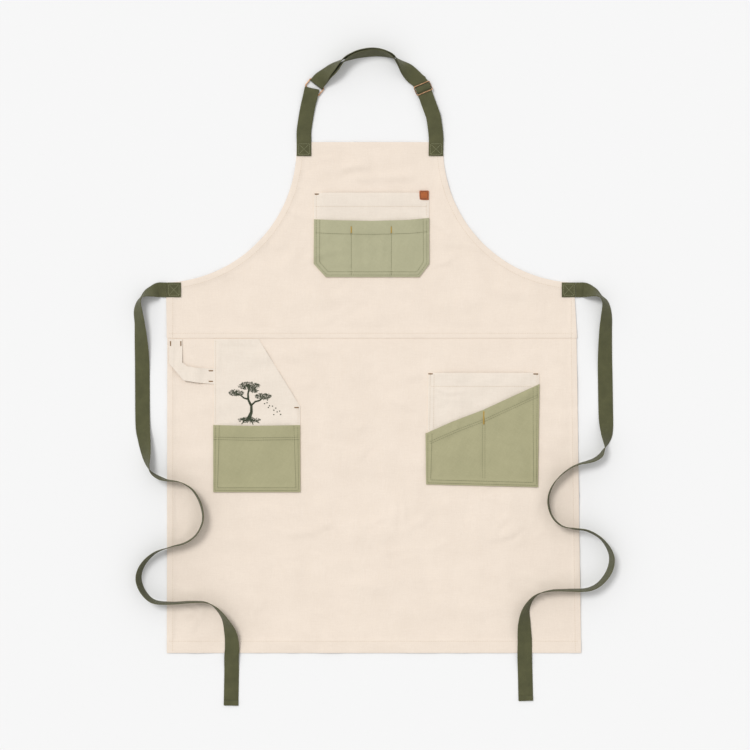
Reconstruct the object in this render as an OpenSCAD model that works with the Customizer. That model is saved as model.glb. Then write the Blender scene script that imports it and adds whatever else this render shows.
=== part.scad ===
// Bib apron with patch pockets, an adjustable webbing neck loop and two webbing waist ties.
// The apron lies flat with its front up: +Y runs to the neck, +Z is up.
// The origin is under the middle of the apron, on the surface that it lies on.

/* [Body] */
// Width of the skirt at the hem
skirt_w = 704; // [690:1:715]
// Height from the waist seam down to the hem
skirt_l = 535; // [525:1:545]
// Height from the waist seam up to the top of the bib
bib_l = 333; // [330:1:336]
// Width of the bib along its top edge
bib_top_w = 249; // [244:1:254]
// Radius of the armhole curve
armhole_r = 230; // [226:1:234]
// How far the bib lies to the left of the skirt's middle
bib_shift = 7; // [0:1:10]

/* [Cloth] */
// Thickness of one layer of canvas
cloth_t = 1.2; // [0.8:0.1:1.4]
// Thickness that a turned hem adds
hem_t = 1.0; // [0.6:0.1:1.2]
// Width of the hems along the sides and the armholes
hem_w = 12; // [10:1:16]
// Depth of the hem along the bottom
bottom_hem = 22; // [18:1:26]
// Overlap of the bib over the skirt at the waist seam
lap = 10; // [8:1:12]

/* [Pockets] */
// Clear height inside each pocket
pocket_gap = 4.6; // [4.4:0.1:5.2]
// Thickness of a pocket's cloth
pocket_t = 1.0; // [0.8:0.1:1.2]
// Width of the slope from a sewn edge up to the pocket's flat front
pocket_slope = 10; // [8:1:12]

/* [Webbing] */
// Width of the webbing
web_w = 25; // [24:0.5:25.4]
// Thickness of the webbing
web_t = 1.2; // [1:0.1:1.3]
// Length of webbing that is sewn down at each end
sewn_l = 24; // [20:1:26]

/* [Hardware] */
// Wire diameter of the neck ring
ring_wire = 2.2; // [2:0.1:2.4]
// Clear width inside the ring
ring_inner_w = 26; // [25.8:0.1:27]
// Clear length inside the ring
ring_inner_l = 14; // [13:0.5:15]
// Length of the slider along the strap
slider_l = 17; // [16:0.5:18]
// Clear width between the slider's side rails
slider_inner_w = 26; // [25.8:0.1:26.6]
// Diameter of the slider's cross bars
slider_bar = 1.8; // [1.6:0.1:2]

/* [Hidden] */

// Colours
cream = [0.93, 0.89, 0.82];
sage = [0.66, 0.68, 0.52];
olive = [0.36, 0.36, 0.26];
brass = [0.62, 0.42, 0.28];
tan = [0.72, 0.42, 0.28];
gold = [0.80, 0.62, 0.25];
brown = [0.55, 0.38, 0.20];
forest = [0.16, 0.24, 0.14];

// Places shared by several parts
gap = 0.1;
hem_y = -514;
waist_y = hem_y + skirt_l;
bib_top_y = waist_y + bib_l;
bib_cx = -bib_shift;
waist_l = -352;
waist_r = 345;
arm_cy = bib_top_y - 9;
arm_dx = bib_top_w / 2 + armhole_r;
panel_top = cloth_t;
hem_top = cloth_t + hem_t;
back_top = panel_top + gap + pocket_gap + pocket_t;
front_top = back_top + gap + pocket_gap + pocket_t;
sewn_z = hem_top + gap;
strap_dx = bib_top_w / 2 - web_w / 2;

// ---------- outline helpers ----------

function arc(c, r, a0, a1, n) = [for (i = [0 : n]) let (a = a0 + (a1 - a0) * i / n)
    [c[0] + r * cos(a), c[1] + r * sin(a)]];

function cross2(a, b) = a[0] * b[1] - a[1] * b[0];

// Outline P, counter-clockwise, with edge i moved inwards by d[i]
function inset(P, d) = [for (i = [0 : len(P) - 1])
    let (
        h = (i + len(P) - 1) % len(P),
        j = (i + 1) % len(P),
        u = (P[i] - P[h]) / norm(P[i] - P[h]),
        v = (P[j] - P[i]) / norm(P[j] - P[i]),
        p = P[h] + d[h] * [-u[1], u[0]],
        q = P[i] + d[i] * [-v[1], v[0]])
    p + u * cross2(q - p, v) / cross2(u, v)];

// Bib outline above the waist seam, with its free edges moved inwards by e
function bib_outline(e) = concat(
    [[waist_l + e, waist_y], [waist_r - e, waist_y]],
    arc([bib_cx + arm_dx, arm_cy], armhole_r + e, -92, -180, 32),
    [[bib_cx + bib_top_w / 2 - e, bib_top_y - e], [bib_cx - bib_top_w / 2 + e, bib_top_y - e]],
    arc([bib_cx - arm_dx, arm_cy], armhole_r + e, 0, -88, 32));

skirt_outline = [[-skirt_w / 2, hem_y], [skirt_w / 2, hem_y], [waist_r, waist_y], [waist_l, waist_y]];

// ---------- panels ----------

module bib_panel() {
    color(cream) {
        difference() {
            linear_extrude(cloth_t) polygon(bib_outline(0));
            translate([-400, waist_y - 1, -1]) cube([800, lap + 1.3, cloth_t + 2]);
        }
        // The lower edge is lifted over the skirt's seam allowance
        translate([waist_l, 0, 0]) rotate([90, 0, 90]) linear_extrude(waist_r - waist_l)
            polygon([[waist_y, cloth_t + gap], [waist_y + lap + 0.3, cloth_t + gap],
                [waist_y + lap + 0.3, 0], [waist_y + lap + 3, 0],
                [waist_y + lap + 3, 2 * cloth_t + gap], [waist_y, 2 * cloth_t + gap]]);
        // Turned hem along the sides, the armholes and the top
        difference() {
            linear_extrude(hem_top) polygon(bib_outline(0));
            translate([0, 0, -1]) linear_extrude(hem_top + 2) polygon(bib_outline(hem_w));
            translate([-400, waist_y - 1, -1]) cube([800, lap + 2, hem_top + 2]);
        }
    }
}

module skirt_panel() {
    color(cream) {
        linear_extrude(cloth_t) polygon(skirt_outline);
        // Seam allowance under the bib's lap
        translate([waist_l + 1, waist_y - 2, 0]) cube([waist_r - waist_l - 2, lap + 2, cloth_t]);
        // Hems along the sides and the bottom
        difference() {
            linear_extrude(hem_top) polygon(skirt_outline);
            translate([0, 0, -1]) linear_extrude(hem_top + 2)
                polygon(inset(skirt_outline, [bottom_hem, hem_w, 0, hem_w]));
            translate([-400, waist_y - 0.2, -1]) cube([800, 5, hem_top + 2]);
        }
    }
}

// ---------- pockets ----------

back_foot = 2.4;
chest_outline = [[-81, 125], [77, 125], [93, 147], [93, 268], [-102, 268], [-102, 147]];
chest_mouth_y = 222;
chest_dividers = [-39, 29];
left_outline = [[-272, -239], [-125, -239], [-125, -93], [-190, 10], [-272, 10]];
left_mouth_y = -127;
right_outline = [[90, -227], [279, -227], [281, -38], [91, -38]];
right_mouth = [[90, -141], [281, -60]];
right_divider_x = 186;

// One sewn-on layer of cloth, standing clear of what is under it. P is its outline, open[i] is 1 on
// the edges that aren't sewn, foot moves the sewn edges inwards, top is the height of its face, and
// run is the width of the slope up to it.
module pocket_layer(P, open, foot, top, run) {
    base = panel_top + gap;
    slope = foot + run;
    wall = 1.4;
    past = -6;
    difference() {
        hull() {
            translate([0, 0, base]) linear_extrude(0.01) polygon(inset(P, [for (o = open) o ? 0 : foot]));
            translate([0, 0, top - 0.01]) linear_extrude(0.01)
                polygon(inset(P, [for (o = open) o ? 0 : slope]));
        }
        hull() {
            translate([0, 0, base - 0.5]) linear_extrude(0.01)
                polygon(inset(P, [for (o = open) o ? past : foot + wall]));
            translate([0, 0, top - pocket_t - 0.01]) linear_extrude(0.01)
                polygon(inset(P, [for (o = open) o ? past : slope]));
        }
    }
}

module divider(x, y0, y1) {
    translate([x - 0.6, y0, back_top + gap]) cube([1.2, y1 - y0, pocket_gap + pocket_t / 2]);
}

module chest_pocket_back() {
    color(cream) pocket_layer(chest_outline, [0, 0, 0, 1, 0, 0], back_foot, back_top, pocket_slope);
}

module chest_pocket_front() {
    P = [chest_outline[0], chest_outline[1], chest_outline[2], [93, chest_mouth_y],
        [-102, chest_mouth_y], chest_outline[5]];
    color(sage) {
        pocket_layer(P, [0, 0, 0, 1, 0, 0], 0, front_top, pocket_slope + 4);
        for (x = chest_dividers) divider(x, 142, chest_mouth_y);
    }
}

module left_pocket_back() {
    color(cream) pocket_layer(left_outline, [0, 0, 1, 0, 0], back_foot, back_top, pocket_slope);
}

module left_pocket_front() {
    P = [left_outline[0], left_outline[1], [-125, left_mouth_y], [-272, left_mouth_y]];
    color(sage) pocket_layer(P, [0, 0, 1, 0], 0, front_top, pocket_slope + 4);
}

module right_pocket_back() {
    color(cream) pocket_layer(right_outline, [0, 0, 1, 0], back_foot, back_top, pocket_slope);
}

module right_pocket_front() {
    P = [right_outline[0], right_outline[1], right_mouth[1], right_mouth[0]];
    color(sage) {
        pocket_layer(P, [0, 0, 1, 0], 0, front_top, pocket_slope + 4);
        divider(right_divider_x, -210, -101);
    }
}

// ---------- towel loop and patch ----------

loop_leg = [[-347, -20], [-325, -20], [-325, 15], [-347, 15]];
loop_turn = [[-347, -20], [-320, -54], [-300, -54], [-300, -31], [-326, -20]];
loop_run = [[-300, -54], [-269, -55], [-269, -30], [-300, -31]];

module towel_loop() {
    low = hem_top + gap;
    high = low + pocket_gap;
    color(cream) {
        for (P = [loop_leg, loop_turn, loop_run])
            translate([0, 0, high]) linear_extrude(pocket_t) polygon(P);
        translate([-347, 5, low]) cube([22, 10, pocket_gap + pocket_t]);
        translate([-281, -55, low]) cube([12, 25, pocket_gap + pocket_t]);
    }
}

patch_size = 16;
patch_c = [85, 263.5];
patch_t = 1.4;

module leather_patch() {
    color(tan) translate([patch_c[0], patch_c[1], back_top + gap]) linear_extrude(patch_t) hull()
        for (x = [-1, 1], y = [-1, 1]) translate([x, y] * (patch_size / 2 - 1)) circle(r = 1, $fn = 24);
}

// ---------- webbing ----------

// Point at parameter s on the smooth curve through the rows of P
function blend_row(a, b, c, d, t) = 0.5 * (2 * b + (c - a) * t + (2 * a - 5 * b + 4 * c - d) * t * t
    + (3 * b - a - 3 * c + d) * t * t * t);

function row_at(P, s) = let (n = len(P) - 1, i = min(floor(s), n - 1))
    blend_row(P[max(i - 1, 0)], P[i], P[i + 1], P[min(i + 2, n)], s - i);

function smooth(P, rings) = [for (k = [0 : rings]) row_at(P, (len(P) - 1) * k / rings)];

// Corners of a flat strap's section, across its width and its thickness
web_section = let (a = web_w / 2, b = web_t / 2)
    [[-a, -b / 2], [-a + b, -b], [a - b, -b], [a, -b / 2], [a, b / 2], [a - b, b], [-a + b, b], [-a, b / 2]];

// Frames [centre, width direction, face normal] along rows of [x, y, tilt, z of the surface under the
// webbing, offset along its face]. A tilt of 0 lies flat and 90 stands on edge.
function frames(rows) = [for (i = [0 : len(rows) - 1])
    let (
        r = rows[i],
        d = rows[min(i + 1, len(rows) - 1)] - rows[max(i - 1, 0)],
        h = atan2(d[1], d[0]),
        w = [sin(h) * cos(r[2]), -cos(h) * cos(r[2]), -sin(r[2])],
        u = [sin(h) * sin(r[2]), -cos(h) * sin(r[2]), cos(r[2])])
    [[r[0], r[1], r[3] + web_t / 2 + (web_w / 2) * abs(sin(r[2]))] + u * r[4], w, u]];

// The same frames with the face turned over, in the opposite order
function turned_back(F) = [for (i = [len(F) - 1 : -1 : 0]) [F[i][0], F[i][1], -F[i][2]]];

// Webbing through a list of frames
module webbing(F) {
    n = len(F) - 1;
    m = len(web_section);
    pts = [for (f = F, s = web_section) f[0] + f[1] * s[0] + f[2] * s[1]];
    color(olive) polyhedron(points = pts, convexity = 6, faces = concat(
        [[for (j = [m - 1 : -1 : 0]) j]],
        [for (i = [0 : n - 1], j = [0 : m - 1]) [i * m + j, (i + 1) * m + (j + 1) % m, (i + 1) * m + j]],
        [for (i = [0 : n - 1], j = [0 : m - 1]) [i * m + j, i * m + (j + 1) % m, (i + 1) * m + (j + 1) % m]],
        [[for (j = [0 : m - 1]) n * m + j]]));
}

// Half turn of webbing of inner radius r round the slider's bar along X, with two legs towards +Y
module web_turn(r, leg) {
    w = web_w - 0.2;
    translate([-w / 2, 0, 0]) rotate([90, 0, 90]) linear_extrude(w) {
        difference() {
            circle(r = r + web_t, $fn = 48);
            circle(r = r, $fn = 48);
            translate([0, -20]) square([20, 40]);
        }
        for (z = [r, -r - web_t]) translate([-0.1, z]) square([leg + 0.1, web_t]);
    }
}

// ---------- neck ring and slider places ----------

ring_turn = -38;
ring_y_axis = [-sin(ring_turn), cos(ring_turn)];
ring_span = ring_inner_l + ring_wire;
near_r = ring_wire / 2 + 0.4;
ring_z = 0.2 + web_t + near_r;
near_bar = [-106, 441];
far_bar = near_bar + ring_span * ring_y_axis;
ring_lift = 10;
far_low = 0.2;
far_r = (ring_wire + ring_span * sin(ring_lift) + 0.7) / 2;

slider_c = [83.5, 445];
slider_turn = 20;
strap_dir = [-sin(slider_turn), cos(slider_turn)];
loop_r = slider_bar / 2 + 0.1;
slider_bar_z = 0.2 + web_t + loop_r;
through_z = 0.2 + 2 * web_t + 2 * loop_r + 0.2;
end_bar_z = through_z + web_t + 0.3 + slider_bar / 2;
rail_t = 2;

function on_strap(s) = slider_c + s * strap_dir;

module at_ring(p, z) {
    translate([p[0], p[1], z]) rotate([0, 0, ring_turn]) children();
}

module at_slider() {
    translate([slider_c[0], slider_c[1], 0]) rotate([0, 0, slider_turn]) children();
}

// ---------- neck straps ----------

module sewn_end(x) {
    color(olive) translate([x - web_w / 2, bib_top_y - sewn_l, sewn_z]) cube([web_w, sewn_l, web_t]);
}

module left_strap_sewn_end() {
    sewn_end(bib_cx - strap_dx);
}

module right_strap_sewn_end() {
    sewn_end(bib_cx + strap_dx);
}

fold_y = bib_top_y + 3;

// A row of a strap that meets the ring's bar at p, s along the ring from it, at height z
function at_bar(p, s, z) = [p[0] + s * ring_y_axis[0], p[1] + s * ring_y_axis[1], 0, z, 0];

// Frames round a bar at p and height z, r from it, with the width along side times the bar
function round_bar(p, z, r, a0, a1, side) = [for (k = [1 : 7])
    let (a = a0 + (a1 - a0) * k / 8, u = [ring_y_axis[0] * cos(a), ring_y_axis[1] * cos(a), sin(a)])
    [[p[0], p[1], z] + (r + web_t / 2) * u, side * [cos(ring_turn), sin(ring_turn), 0], u]];

// Rows run from the bib to the ring: x, y, tilt, surface height, offset
short_top_z = ring_z + near_r;
short_rows = [[-119, fold_y, 0, sewn_z, 0], [-119, 372, 0, 1.8, 0], [-116, 394, 0, 1.7, 0],
    [-112, 416, 0, 1.9, 0], [-110, 430, 0, 3, 0], at_bar(near_bar, -3, short_top_z),
    at_bar(near_bar, 0, short_top_z)];
short_tail = [at_bar(near_bar, -16, 0.2), at_bar(near_bar, -8, 0.2), at_bar(near_bar, 0, 0.2)];

module short_neck_strap() {
    webbing(concat(frames(smooth(short_rows, 18)), round_bar(near_bar, ring_z, near_r, 90, -90, 1),
        turned_back(frames(short_tail))));
}

// Rows run from the slider over the top to the ring. Each layer adds its own heights.
loop_xy = [[70, 466, 14], [60, 477, 40], [49, 488, 66], [36, 497, 90], [18, 504, 112], [-4, 507, 120],
    [-26, 504, 112], [-46, 496, 90], [-60, 487, 52], [-72, 478, 20], [-84, 466, 0]];
layer_off = web_t / 2 + 0.2;
far_top_z = far_low + web_t + 2 * far_r;

through_rows = concat(
    [[106, fold_y, 0, sewn_z, 0], [105, 368, 0, sewn_z + 0.4, 0], [103, 384, 0, 3.6, 0]],
    [for (s = [-50, -44, -24, -6, 6, 14]) [on_strap(s)[0], on_strap(s)[1], 0, through_z, 0]],
    [for (k = [0 : len(loop_xy) - 1]) let (r = loop_xy[k])
        [r[0], r[1], r[2], k < 1 ? 3.2 : k > 9 ? 4.5 : 1.6, layer_off]],
    [at_bar(far_bar, 3, far_top_z), at_bar(far_bar, 0, far_top_z)]);

return_rows = concat(
    [[on_strap(17)[0] - 1, on_strap(17)[1], 0, 0.2, 0]],
    [for (k = [0 : len(loop_xy) - 1]) let (r = loop_xy[k])
        [r[0], r[1], r[2], k < 1 ? 0.9 : 1.4, -layer_off]],
    [at_bar(far_bar, 3, far_low), at_bar(far_bar, 0, far_low)]);

module main_neck_strap() {
    webbing(concat(frames(smooth(through_rows, 56)),
        round_bar(far_bar, far_low + web_t + far_r, far_r, 90, 270, -1),
        turned_back(frames(smooth(return_rows, 36)))));
}

// ---------- ring and slider ----------

module ring_corner() {
    rotate_extrude(angle = 90, $fn = 48) translate([2, 0]) circle(d = ring_wire, $fn = 32);
}

module strap_ring() {
    w = ring_inner_w + ring_wire;
    bend = 2;
    color(brass) at_ring(near_bar, ring_z) {
        for (y = [0, ring_span]) translate([-w / 2 + bend, y, 0]) rotate([0, 90, 0])
            cylinder(d = ring_wire, h = w - 2 * bend, $fn = 32);
        for (x = [-w / 2, w / 2]) translate([x, bend, 0]) rotate([-90, 0, 0])
            cylinder(d = ring_wire, h = ring_span - 2 * bend, $fn = 32);
        translate([w / 2 - bend, ring_span - bend, 0]) ring_corner();
        translate([-w / 2 + bend, ring_span - bend, 0]) rotate([0, 0, 90]) ring_corner();
        translate([-w / 2 + bend, bend, 0]) rotate([0, 0, 180]) ring_corner();
        translate([w / 2 - bend, bend, 0]) rotate([0, 0, 270]) ring_corner();
    }
}

module slider_frame() {
    rail_x = slider_inner_w / 2;
    bar_l = slider_inner_w + rail_t;
    low = slider_bar_z - slider_bar / 2;
    high = end_bar_z + slider_bar / 2;
    end_y = slider_l / 2 - slider_bar / 2;
    color(brass) at_slider() {
        for (x = [-rail_x - rail_t, rail_x]) translate([x, 0, 0]) rotate([90, 0, 90])
            linear_extrude(rail_t) polygon([[-3, low], [3, low], [slider_l / 2, high - 2.4],
                [slider_l / 2, high], [-slider_l / 2, high], [-slider_l / 2, high - 2.4]]);
        for (y = [-end_y, end_y]) translate([-bar_l / 2, y, end_bar_z]) rotate([0, 90, 0])
            cylinder(d = slider_bar, h = bar_l, $fn = 32);
        translate([-bar_l / 2, 0, slider_bar_z]) rotate([0, 90, 0])
            cylinder(d = slider_bar, h = bar_l, $fn = 32);
    }
}

// The end of the webbing, turned round the slider's middle bar and sewn to itself
module slider_loop_end() {
    leg = 9.6;
    seam = 5.6;
    color(olive) at_slider() {
        translate([0, 0, slider_bar_z]) web_turn(loop_r, leg);
        translate([-web_w / 2 + 0.1, leg - seam, slider_bar_z - loop_r - 0.1])
            cube([web_w - 0.2, seam, 2 * loop_r + 0.2]);
    }
}

// ---------- waist ties ----------

tie_y = 103;
left_tie_x = -352;
right_tie_x = 343;

module left_tie_sewn_end() {
    color(olive) translate([left_tie_x, tie_y - web_w / 2, sewn_z]) cube([sewn_l, web_w, web_t]);
}

module right_tie_sewn_end() {
    color(olive) translate([right_tie_x - sewn_l, tie_y - web_w / 2, sewn_z]) cube([sewn_l, web_w, web_t]);
}

// Routes of the ties: x, y, tilt, height of the surface under the webbing, 0
over = hem_top + 0.3;
left_tie_route = [[-352, 103, 0, sewn_z, 0], [-358, 103, 0, 1.9, 0], [-365, 103, 0, 1.3, 0],
    [-376, 100.5, 38, 0.2, 0], [-386, 97, 60, 0.2, 0], [-394.5, 90, 80, 0.2, 0],
    [-399, 80, 66, 0.2, 0], [-400, 66, 50, 0.2, 0], [-397.5, 46, 42, 0.1, 0],
    [-395.7, 22, 28, 0.1, 0], [-394, -14, 8, 0.1, 0], [-393.6, -60, 0, 0.1, 0],
    [-393, -125, 6, 0.1, 0], [-390, -152, 27, 0.1, 0],
    [-387, -172, 43, 0.1, 0], [-385, -187, 62, 0.1, 0], [-382, -199, 80, 0.2, 0],
    [-378, -206, 90, 0.2, 0], [-371, -212, 96, 0.5, 0], [-361, -217, 98, 1.5, 0],
    [-350, -220, 92, over, 0], [-334, -222, 88, over, 0], [-320, -227, 84, over, 0],
    [-305, -239, 80, over, 0], [-293, -262, 79, over, 0], [-290, -288, 82, over, 0],
    [-301, -312, 86, over, 0], [-320, -326, 88, over, 0], [-345, -333, 92, over, 0],
    [-371, -343, 98, 1.6, 0], [-391, -362, 104, 0.2, 0], [-399, -385, 107, 0.2, 0],
    [-392, -408, 104, 0.2, 0], [-374, -425, 99, 1.4, 0], [-345, -428, 94, over, 0],
    [-310, -426, 91, over, 0], [-284, -427, 86, over, 0], [-266, -438, 76, over, 0],
    [-252, -457, 62, over, 0], [-243, -482, 28, over, 0], [-241, -505, 8, over, 0],
    [-242, -521, 3, 2.2, 0], [-242, -549, 0, 0.1, 0], [-243, -603, 0, 0.1, 0]];
right_tie_route = [[343, 103, 0, sewn_z, 0], [349, 103, 0, 1.9, 0], [356, 103, 0, 1.3, 0],
    [367, 101, -35, 0.2, 0], [376.5, 97.5, -58, 0.2, 0], [385, 91, -76, 0.2, 0],
    [391.5, 82, -62, 0.2, 0], [394, 70, -48, 0.2, 0], [394.2, 54, -34, 0.1, 0],
    [393, 30, -24, 0.1, 0], [392.4, -10, -10, 0.1, 0], [393, -50, 0, 0.1, 0],
    [394, -110, -4, 0.1, 0], [395, -140, -32, 0.1, 0],
    [394, -154, -58, 0.1, 0], [392, -163, -80, 0.1, 0], [389, -169, -91, 0.2, 0],
    [384, -178, -100, 0.2, 0], [374, -185, -99, 0.6, 0], [362, -189, -96, 1.9, 0],
    [349, -192, -91, over, 0], [333, -199, -88, over, 0], [316, -212, -86, over, 0],
    [303, -228, -83, over, 0], [296, -246, -81, over, 0], [296, -264, -81, over, 0],
    [303, -283, -84, over, 0], [318, -297, -88, over, 0], [339, -302, -97, over, 0],
    [363, -306, -98, 2.3, 0], [387, -321, -97, 0.4, 0], [402, -346, -104, 0.2, 0],
    [400, -371, -106, 0.2, 0], [384, -394, -101, 0.6, 0], [362, -405, -97, 2.4, 0],
    [330, -406, -93, over, 0], [298, -407, -88, over, 0], [273, -416, -78, over, 0],
    [258, -438, -58, over, 0], [255, -465, -28, over, 0], [256, -495, -8, over, 0],
    [256, -521, -3, 2.2, 0], [257, -551, 0, 0.1, 0], [258, -595, 0, 0.1, 0]];

module left_waist_tie() {
    webbing(frames(smooth(left_tie_route, 130)));
}

module right_waist_tie() {
    webbing(frames(smooth(right_tie_route, 130)));
}

// ---------- threads ----------

stitch_t = 0.4;
stitch_l = 3;
stitch_w = 0.8;

// A row of stitches from a to b on a surface at height z
module stitch_row(a, b, z) {
    n = max(1, round(norm(b - a) / (2 * stitch_l)));
    for (k = [0 : n - 1]) translate(concat(a + (b - a) * (k + 0.5) / n, z))
        rotate([0, 0, atan2(b[1] - a[1], b[0] - a[0])])
            translate([-stitch_l / 2, -stitch_w / 2, 0]) cube([stitch_l, stitch_w, stitch_t]);
}

module bartack(p, z, turn) {
    translate([p[0], p[1], z]) rotate([0, 0, turn]) translate([-4, -1, 0]) cube([8, 2, 0.6]);
}

module waist_seam_thread() {
    color("wheat") stitch_row([waist_l + 4, waist_y + 8], [waist_r - 4, waist_y + 8], 2 * cloth_t + 2 * gap);
}

module hem_thread() {
    y = hem_y + bottom_hem - 2;
    color("wheat") {
        stitch_row([-skirt_w / 2 + 4, y], [-255, y], hem_top + gap);
        stitch_row([-226, y], [240, y], hem_top + gap);
        stitch_row([272, y], [skirt_w / 2 - 4, y], hem_top + gap);
    }
}

module gold_bartacks() {
    color(gold) {
        for (x = chest_dividers, dy = [-4, -13]) bartack([x, chest_mouth_y + dy], front_top + gap, 90);
        for (y = [-103, -112, -121]) bartack([right_divider_x, y], front_top + gap, 90);
    }
}

module brown_bartacks() {
    z = back_top + gap;
    color(brown) {
        bartack([-85, 264], z, 0);
        bartack([106, -42], z, 0);
        bartack([265, -42], z, 0);
        bartack([-142, -92], z, 0);
        for (y = [-34, -52]) bartack([-275, y], hem_top + 2 * gap + pocket_gap + pocket_t, 0);
        for (x = [-345, -328]) bartack([x, 10], hem_top + 2 * gap + pocket_gap + pocket_t, 90);
    }
}

// Box of stitches with a cross inside, about centre c
module box_stitch(c) {
    a = web_w / 2 - 3;
    b = sewn_l / 2 - 3;
    z = sewn_z + web_t + gap;
    corners = [[-a, -b], [a, -b], [a, b], [-a, b]];
    for (k = [0 : 3]) stitch_row(c + corners[k], c + corners[(k + 1) % 4], z);
}

module strap_box_stitches() {
    color("darkolivegreen") {
        for (x = [bib_cx - strap_dx, bib_cx + strap_dx]) box_stitch([x, bib_top_y - sewn_l / 2]);
        box_stitch([left_tie_x + sewn_l / 2, tie_y]);
        box_stitch([right_tie_x - sewn_l / 2, tie_y]);
    }
}

module patch_stitches() {
    a = patch_size / 2 - 2;
    z = back_top + patch_t + 2 * gap;
    corners = [[-a, -a], [a, -a], [a, a], [-a, a]];
    color(brown) for (k = [0 : 3]) stitch_row(patch_c + corners[k], patch_c + corners[(k + 1) % 4], z);
}

// A plain tree on a mound: a leaning trunk, three branches with oval leaf pads, and a few dots
tree_c = [-212, -118];
tree_pads = [[0, 58, 17, 6], [-22, 46, 12, 5], [24, 40, 13, 5]];

module tree_embroidery() {
    color(forest) translate([tree_c[0], tree_c[1], back_top + gap]) linear_extrude(0.6) {
        scale([1, 0.28]) circle(r = 20, $fn = 48);
        polygon([[-5, 0], [5, 0], [3, 20], [2, 58], [-2, 58], [-2, 20]]);
        for (p = tree_pads) translate([p[0], p[1]]) scale([1, p[3] / p[2]]) circle(r = p[2], $fn = 48);
        polygon([[-1, 30], [1, 27], [24, 38], [22, 41]]);
        polygon([[1, 36], [-1, 32], [-23, 44], [-21, 47]]);
        for (k = [0 : 5]) translate([34 + 7 * k, 26 - 9 * (k % 3)]) circle(r = 1.3, $fn = 24);
    }
}

bib_panel();
skirt_panel();
chest_pocket_back();
chest_pocket_front();
left_pocket_back();
left_pocket_front();
right_pocket_back();
right_pocket_front();
towel_loop();
leather_patch();
left_strap_sewn_end();
right_strap_sewn_end();
short_neck_strap();
main_neck_strap();
strap_ring();
slider_frame();
slider_loop_end();
left_tie_sewn_end();
right_tie_sewn_end();
left_waist_tie();
right_waist_tie();
waist_seam_thread();
hem_thread();
gold_bartacks();
brown_bartacks();
strap_box_stitches();
patch_stitches();
tree_embroidery();
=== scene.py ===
import math

import bpy
import numpy as np
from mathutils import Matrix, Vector
from mathutils.geometry import delaunay_2d_cdt
from mathutils.kdtree import KDTree


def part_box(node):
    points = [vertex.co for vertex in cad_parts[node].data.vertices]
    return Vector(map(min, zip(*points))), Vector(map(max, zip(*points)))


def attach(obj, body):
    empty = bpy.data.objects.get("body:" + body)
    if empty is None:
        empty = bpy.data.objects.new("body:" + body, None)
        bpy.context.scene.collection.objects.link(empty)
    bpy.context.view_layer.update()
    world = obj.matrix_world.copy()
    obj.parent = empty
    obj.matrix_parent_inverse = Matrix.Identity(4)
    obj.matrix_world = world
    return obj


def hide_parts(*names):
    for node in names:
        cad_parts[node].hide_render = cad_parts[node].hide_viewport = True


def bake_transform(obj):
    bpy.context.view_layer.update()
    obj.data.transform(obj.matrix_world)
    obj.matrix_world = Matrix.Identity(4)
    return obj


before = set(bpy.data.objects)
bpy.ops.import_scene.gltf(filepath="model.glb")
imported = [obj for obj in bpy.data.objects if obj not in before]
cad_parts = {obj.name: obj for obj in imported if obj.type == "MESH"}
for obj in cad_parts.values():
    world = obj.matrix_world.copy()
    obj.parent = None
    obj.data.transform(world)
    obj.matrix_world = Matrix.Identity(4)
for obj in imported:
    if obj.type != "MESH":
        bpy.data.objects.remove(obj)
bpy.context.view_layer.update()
MM = 0.001


def mm_box(node):
    """Lowest and highest corner of a CAD node, in millimetres."""
    low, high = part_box(node)
    return np.array(low) / MM, np.array(high) / MM


# ---------- places, in millimetres, from the frame ----------

SKIRT_LOW, SKIRT_HIGH = mm_box("skirt_panel")
BIB_LOW, BIB_HIGH = mm_box("bib_panel")
LEFT_END_LOW, LEFT_END_HIGH = mm_box("left_strap_sewn_end")
RIGHT_END_HIGH = mm_box("right_strap_sewn_end")[1]
LEFT_TIE_LOW, LEFT_TIE_HIGH = mm_box("left_tie_sewn_end")
RIGHT_TIE_LOW, RIGHT_TIE_HIGH = mm_box("right_tie_sewn_end")
HEM_Y = SKIRT_LOW[1]
WAIST_Y = BIB_LOW[1]
BIB_TOP = BIB_HIGH[1]
BIB_LEFT, BIB_RIGHT = LEFT_END_LOW[0], RIGHT_END_HIGH[0]
BODY_LEFT = -352.0
ARM_R = 230.0
ARM_Y = BIB_TOP - 9
ARM_LEFT = np.array([BIB_LEFT - ARM_R, ARM_Y])
ARM_RIGHT = np.array([BIB_RIGHT + ARM_R, ARM_Y])
WEB_W = LEFT_END_HIGH[0] - LEFT_END_LOW[0]
WEB_T = 1.3
CANVAS_T = 1.0
HEM_W = 12.0
BOTTOM_HEM = 22.0
LAP = 10.0
WAIST_STITCH = 8.0
HEM_STITCH = 20.0
GROOVE_W = 1.1

# ---------- small maths ----------


def smooth(a, b, x):
    t = np.clip((np.asarray(x, float) - a) / (b - a), 0, 1)
    return t * t * (3 - 2 * t)


def bumps(x, y, seed, long, short, count=14):
    """Soft uneven waves from -1 to about 1, with wavelengths from long to short."""
    rng = np.random.default_rng(seed)
    total = 0
    for _ in range(count):
        k = 2 * math.pi / rng.uniform(short, long)
        a, phase = rng.uniform(0, math.pi), rng.uniform(0, 2 * math.pi)
        total = total + np.sin(k * (x * math.cos(a) + y * math.sin(a)) + phase)
    return total / math.sqrt(count)


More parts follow.
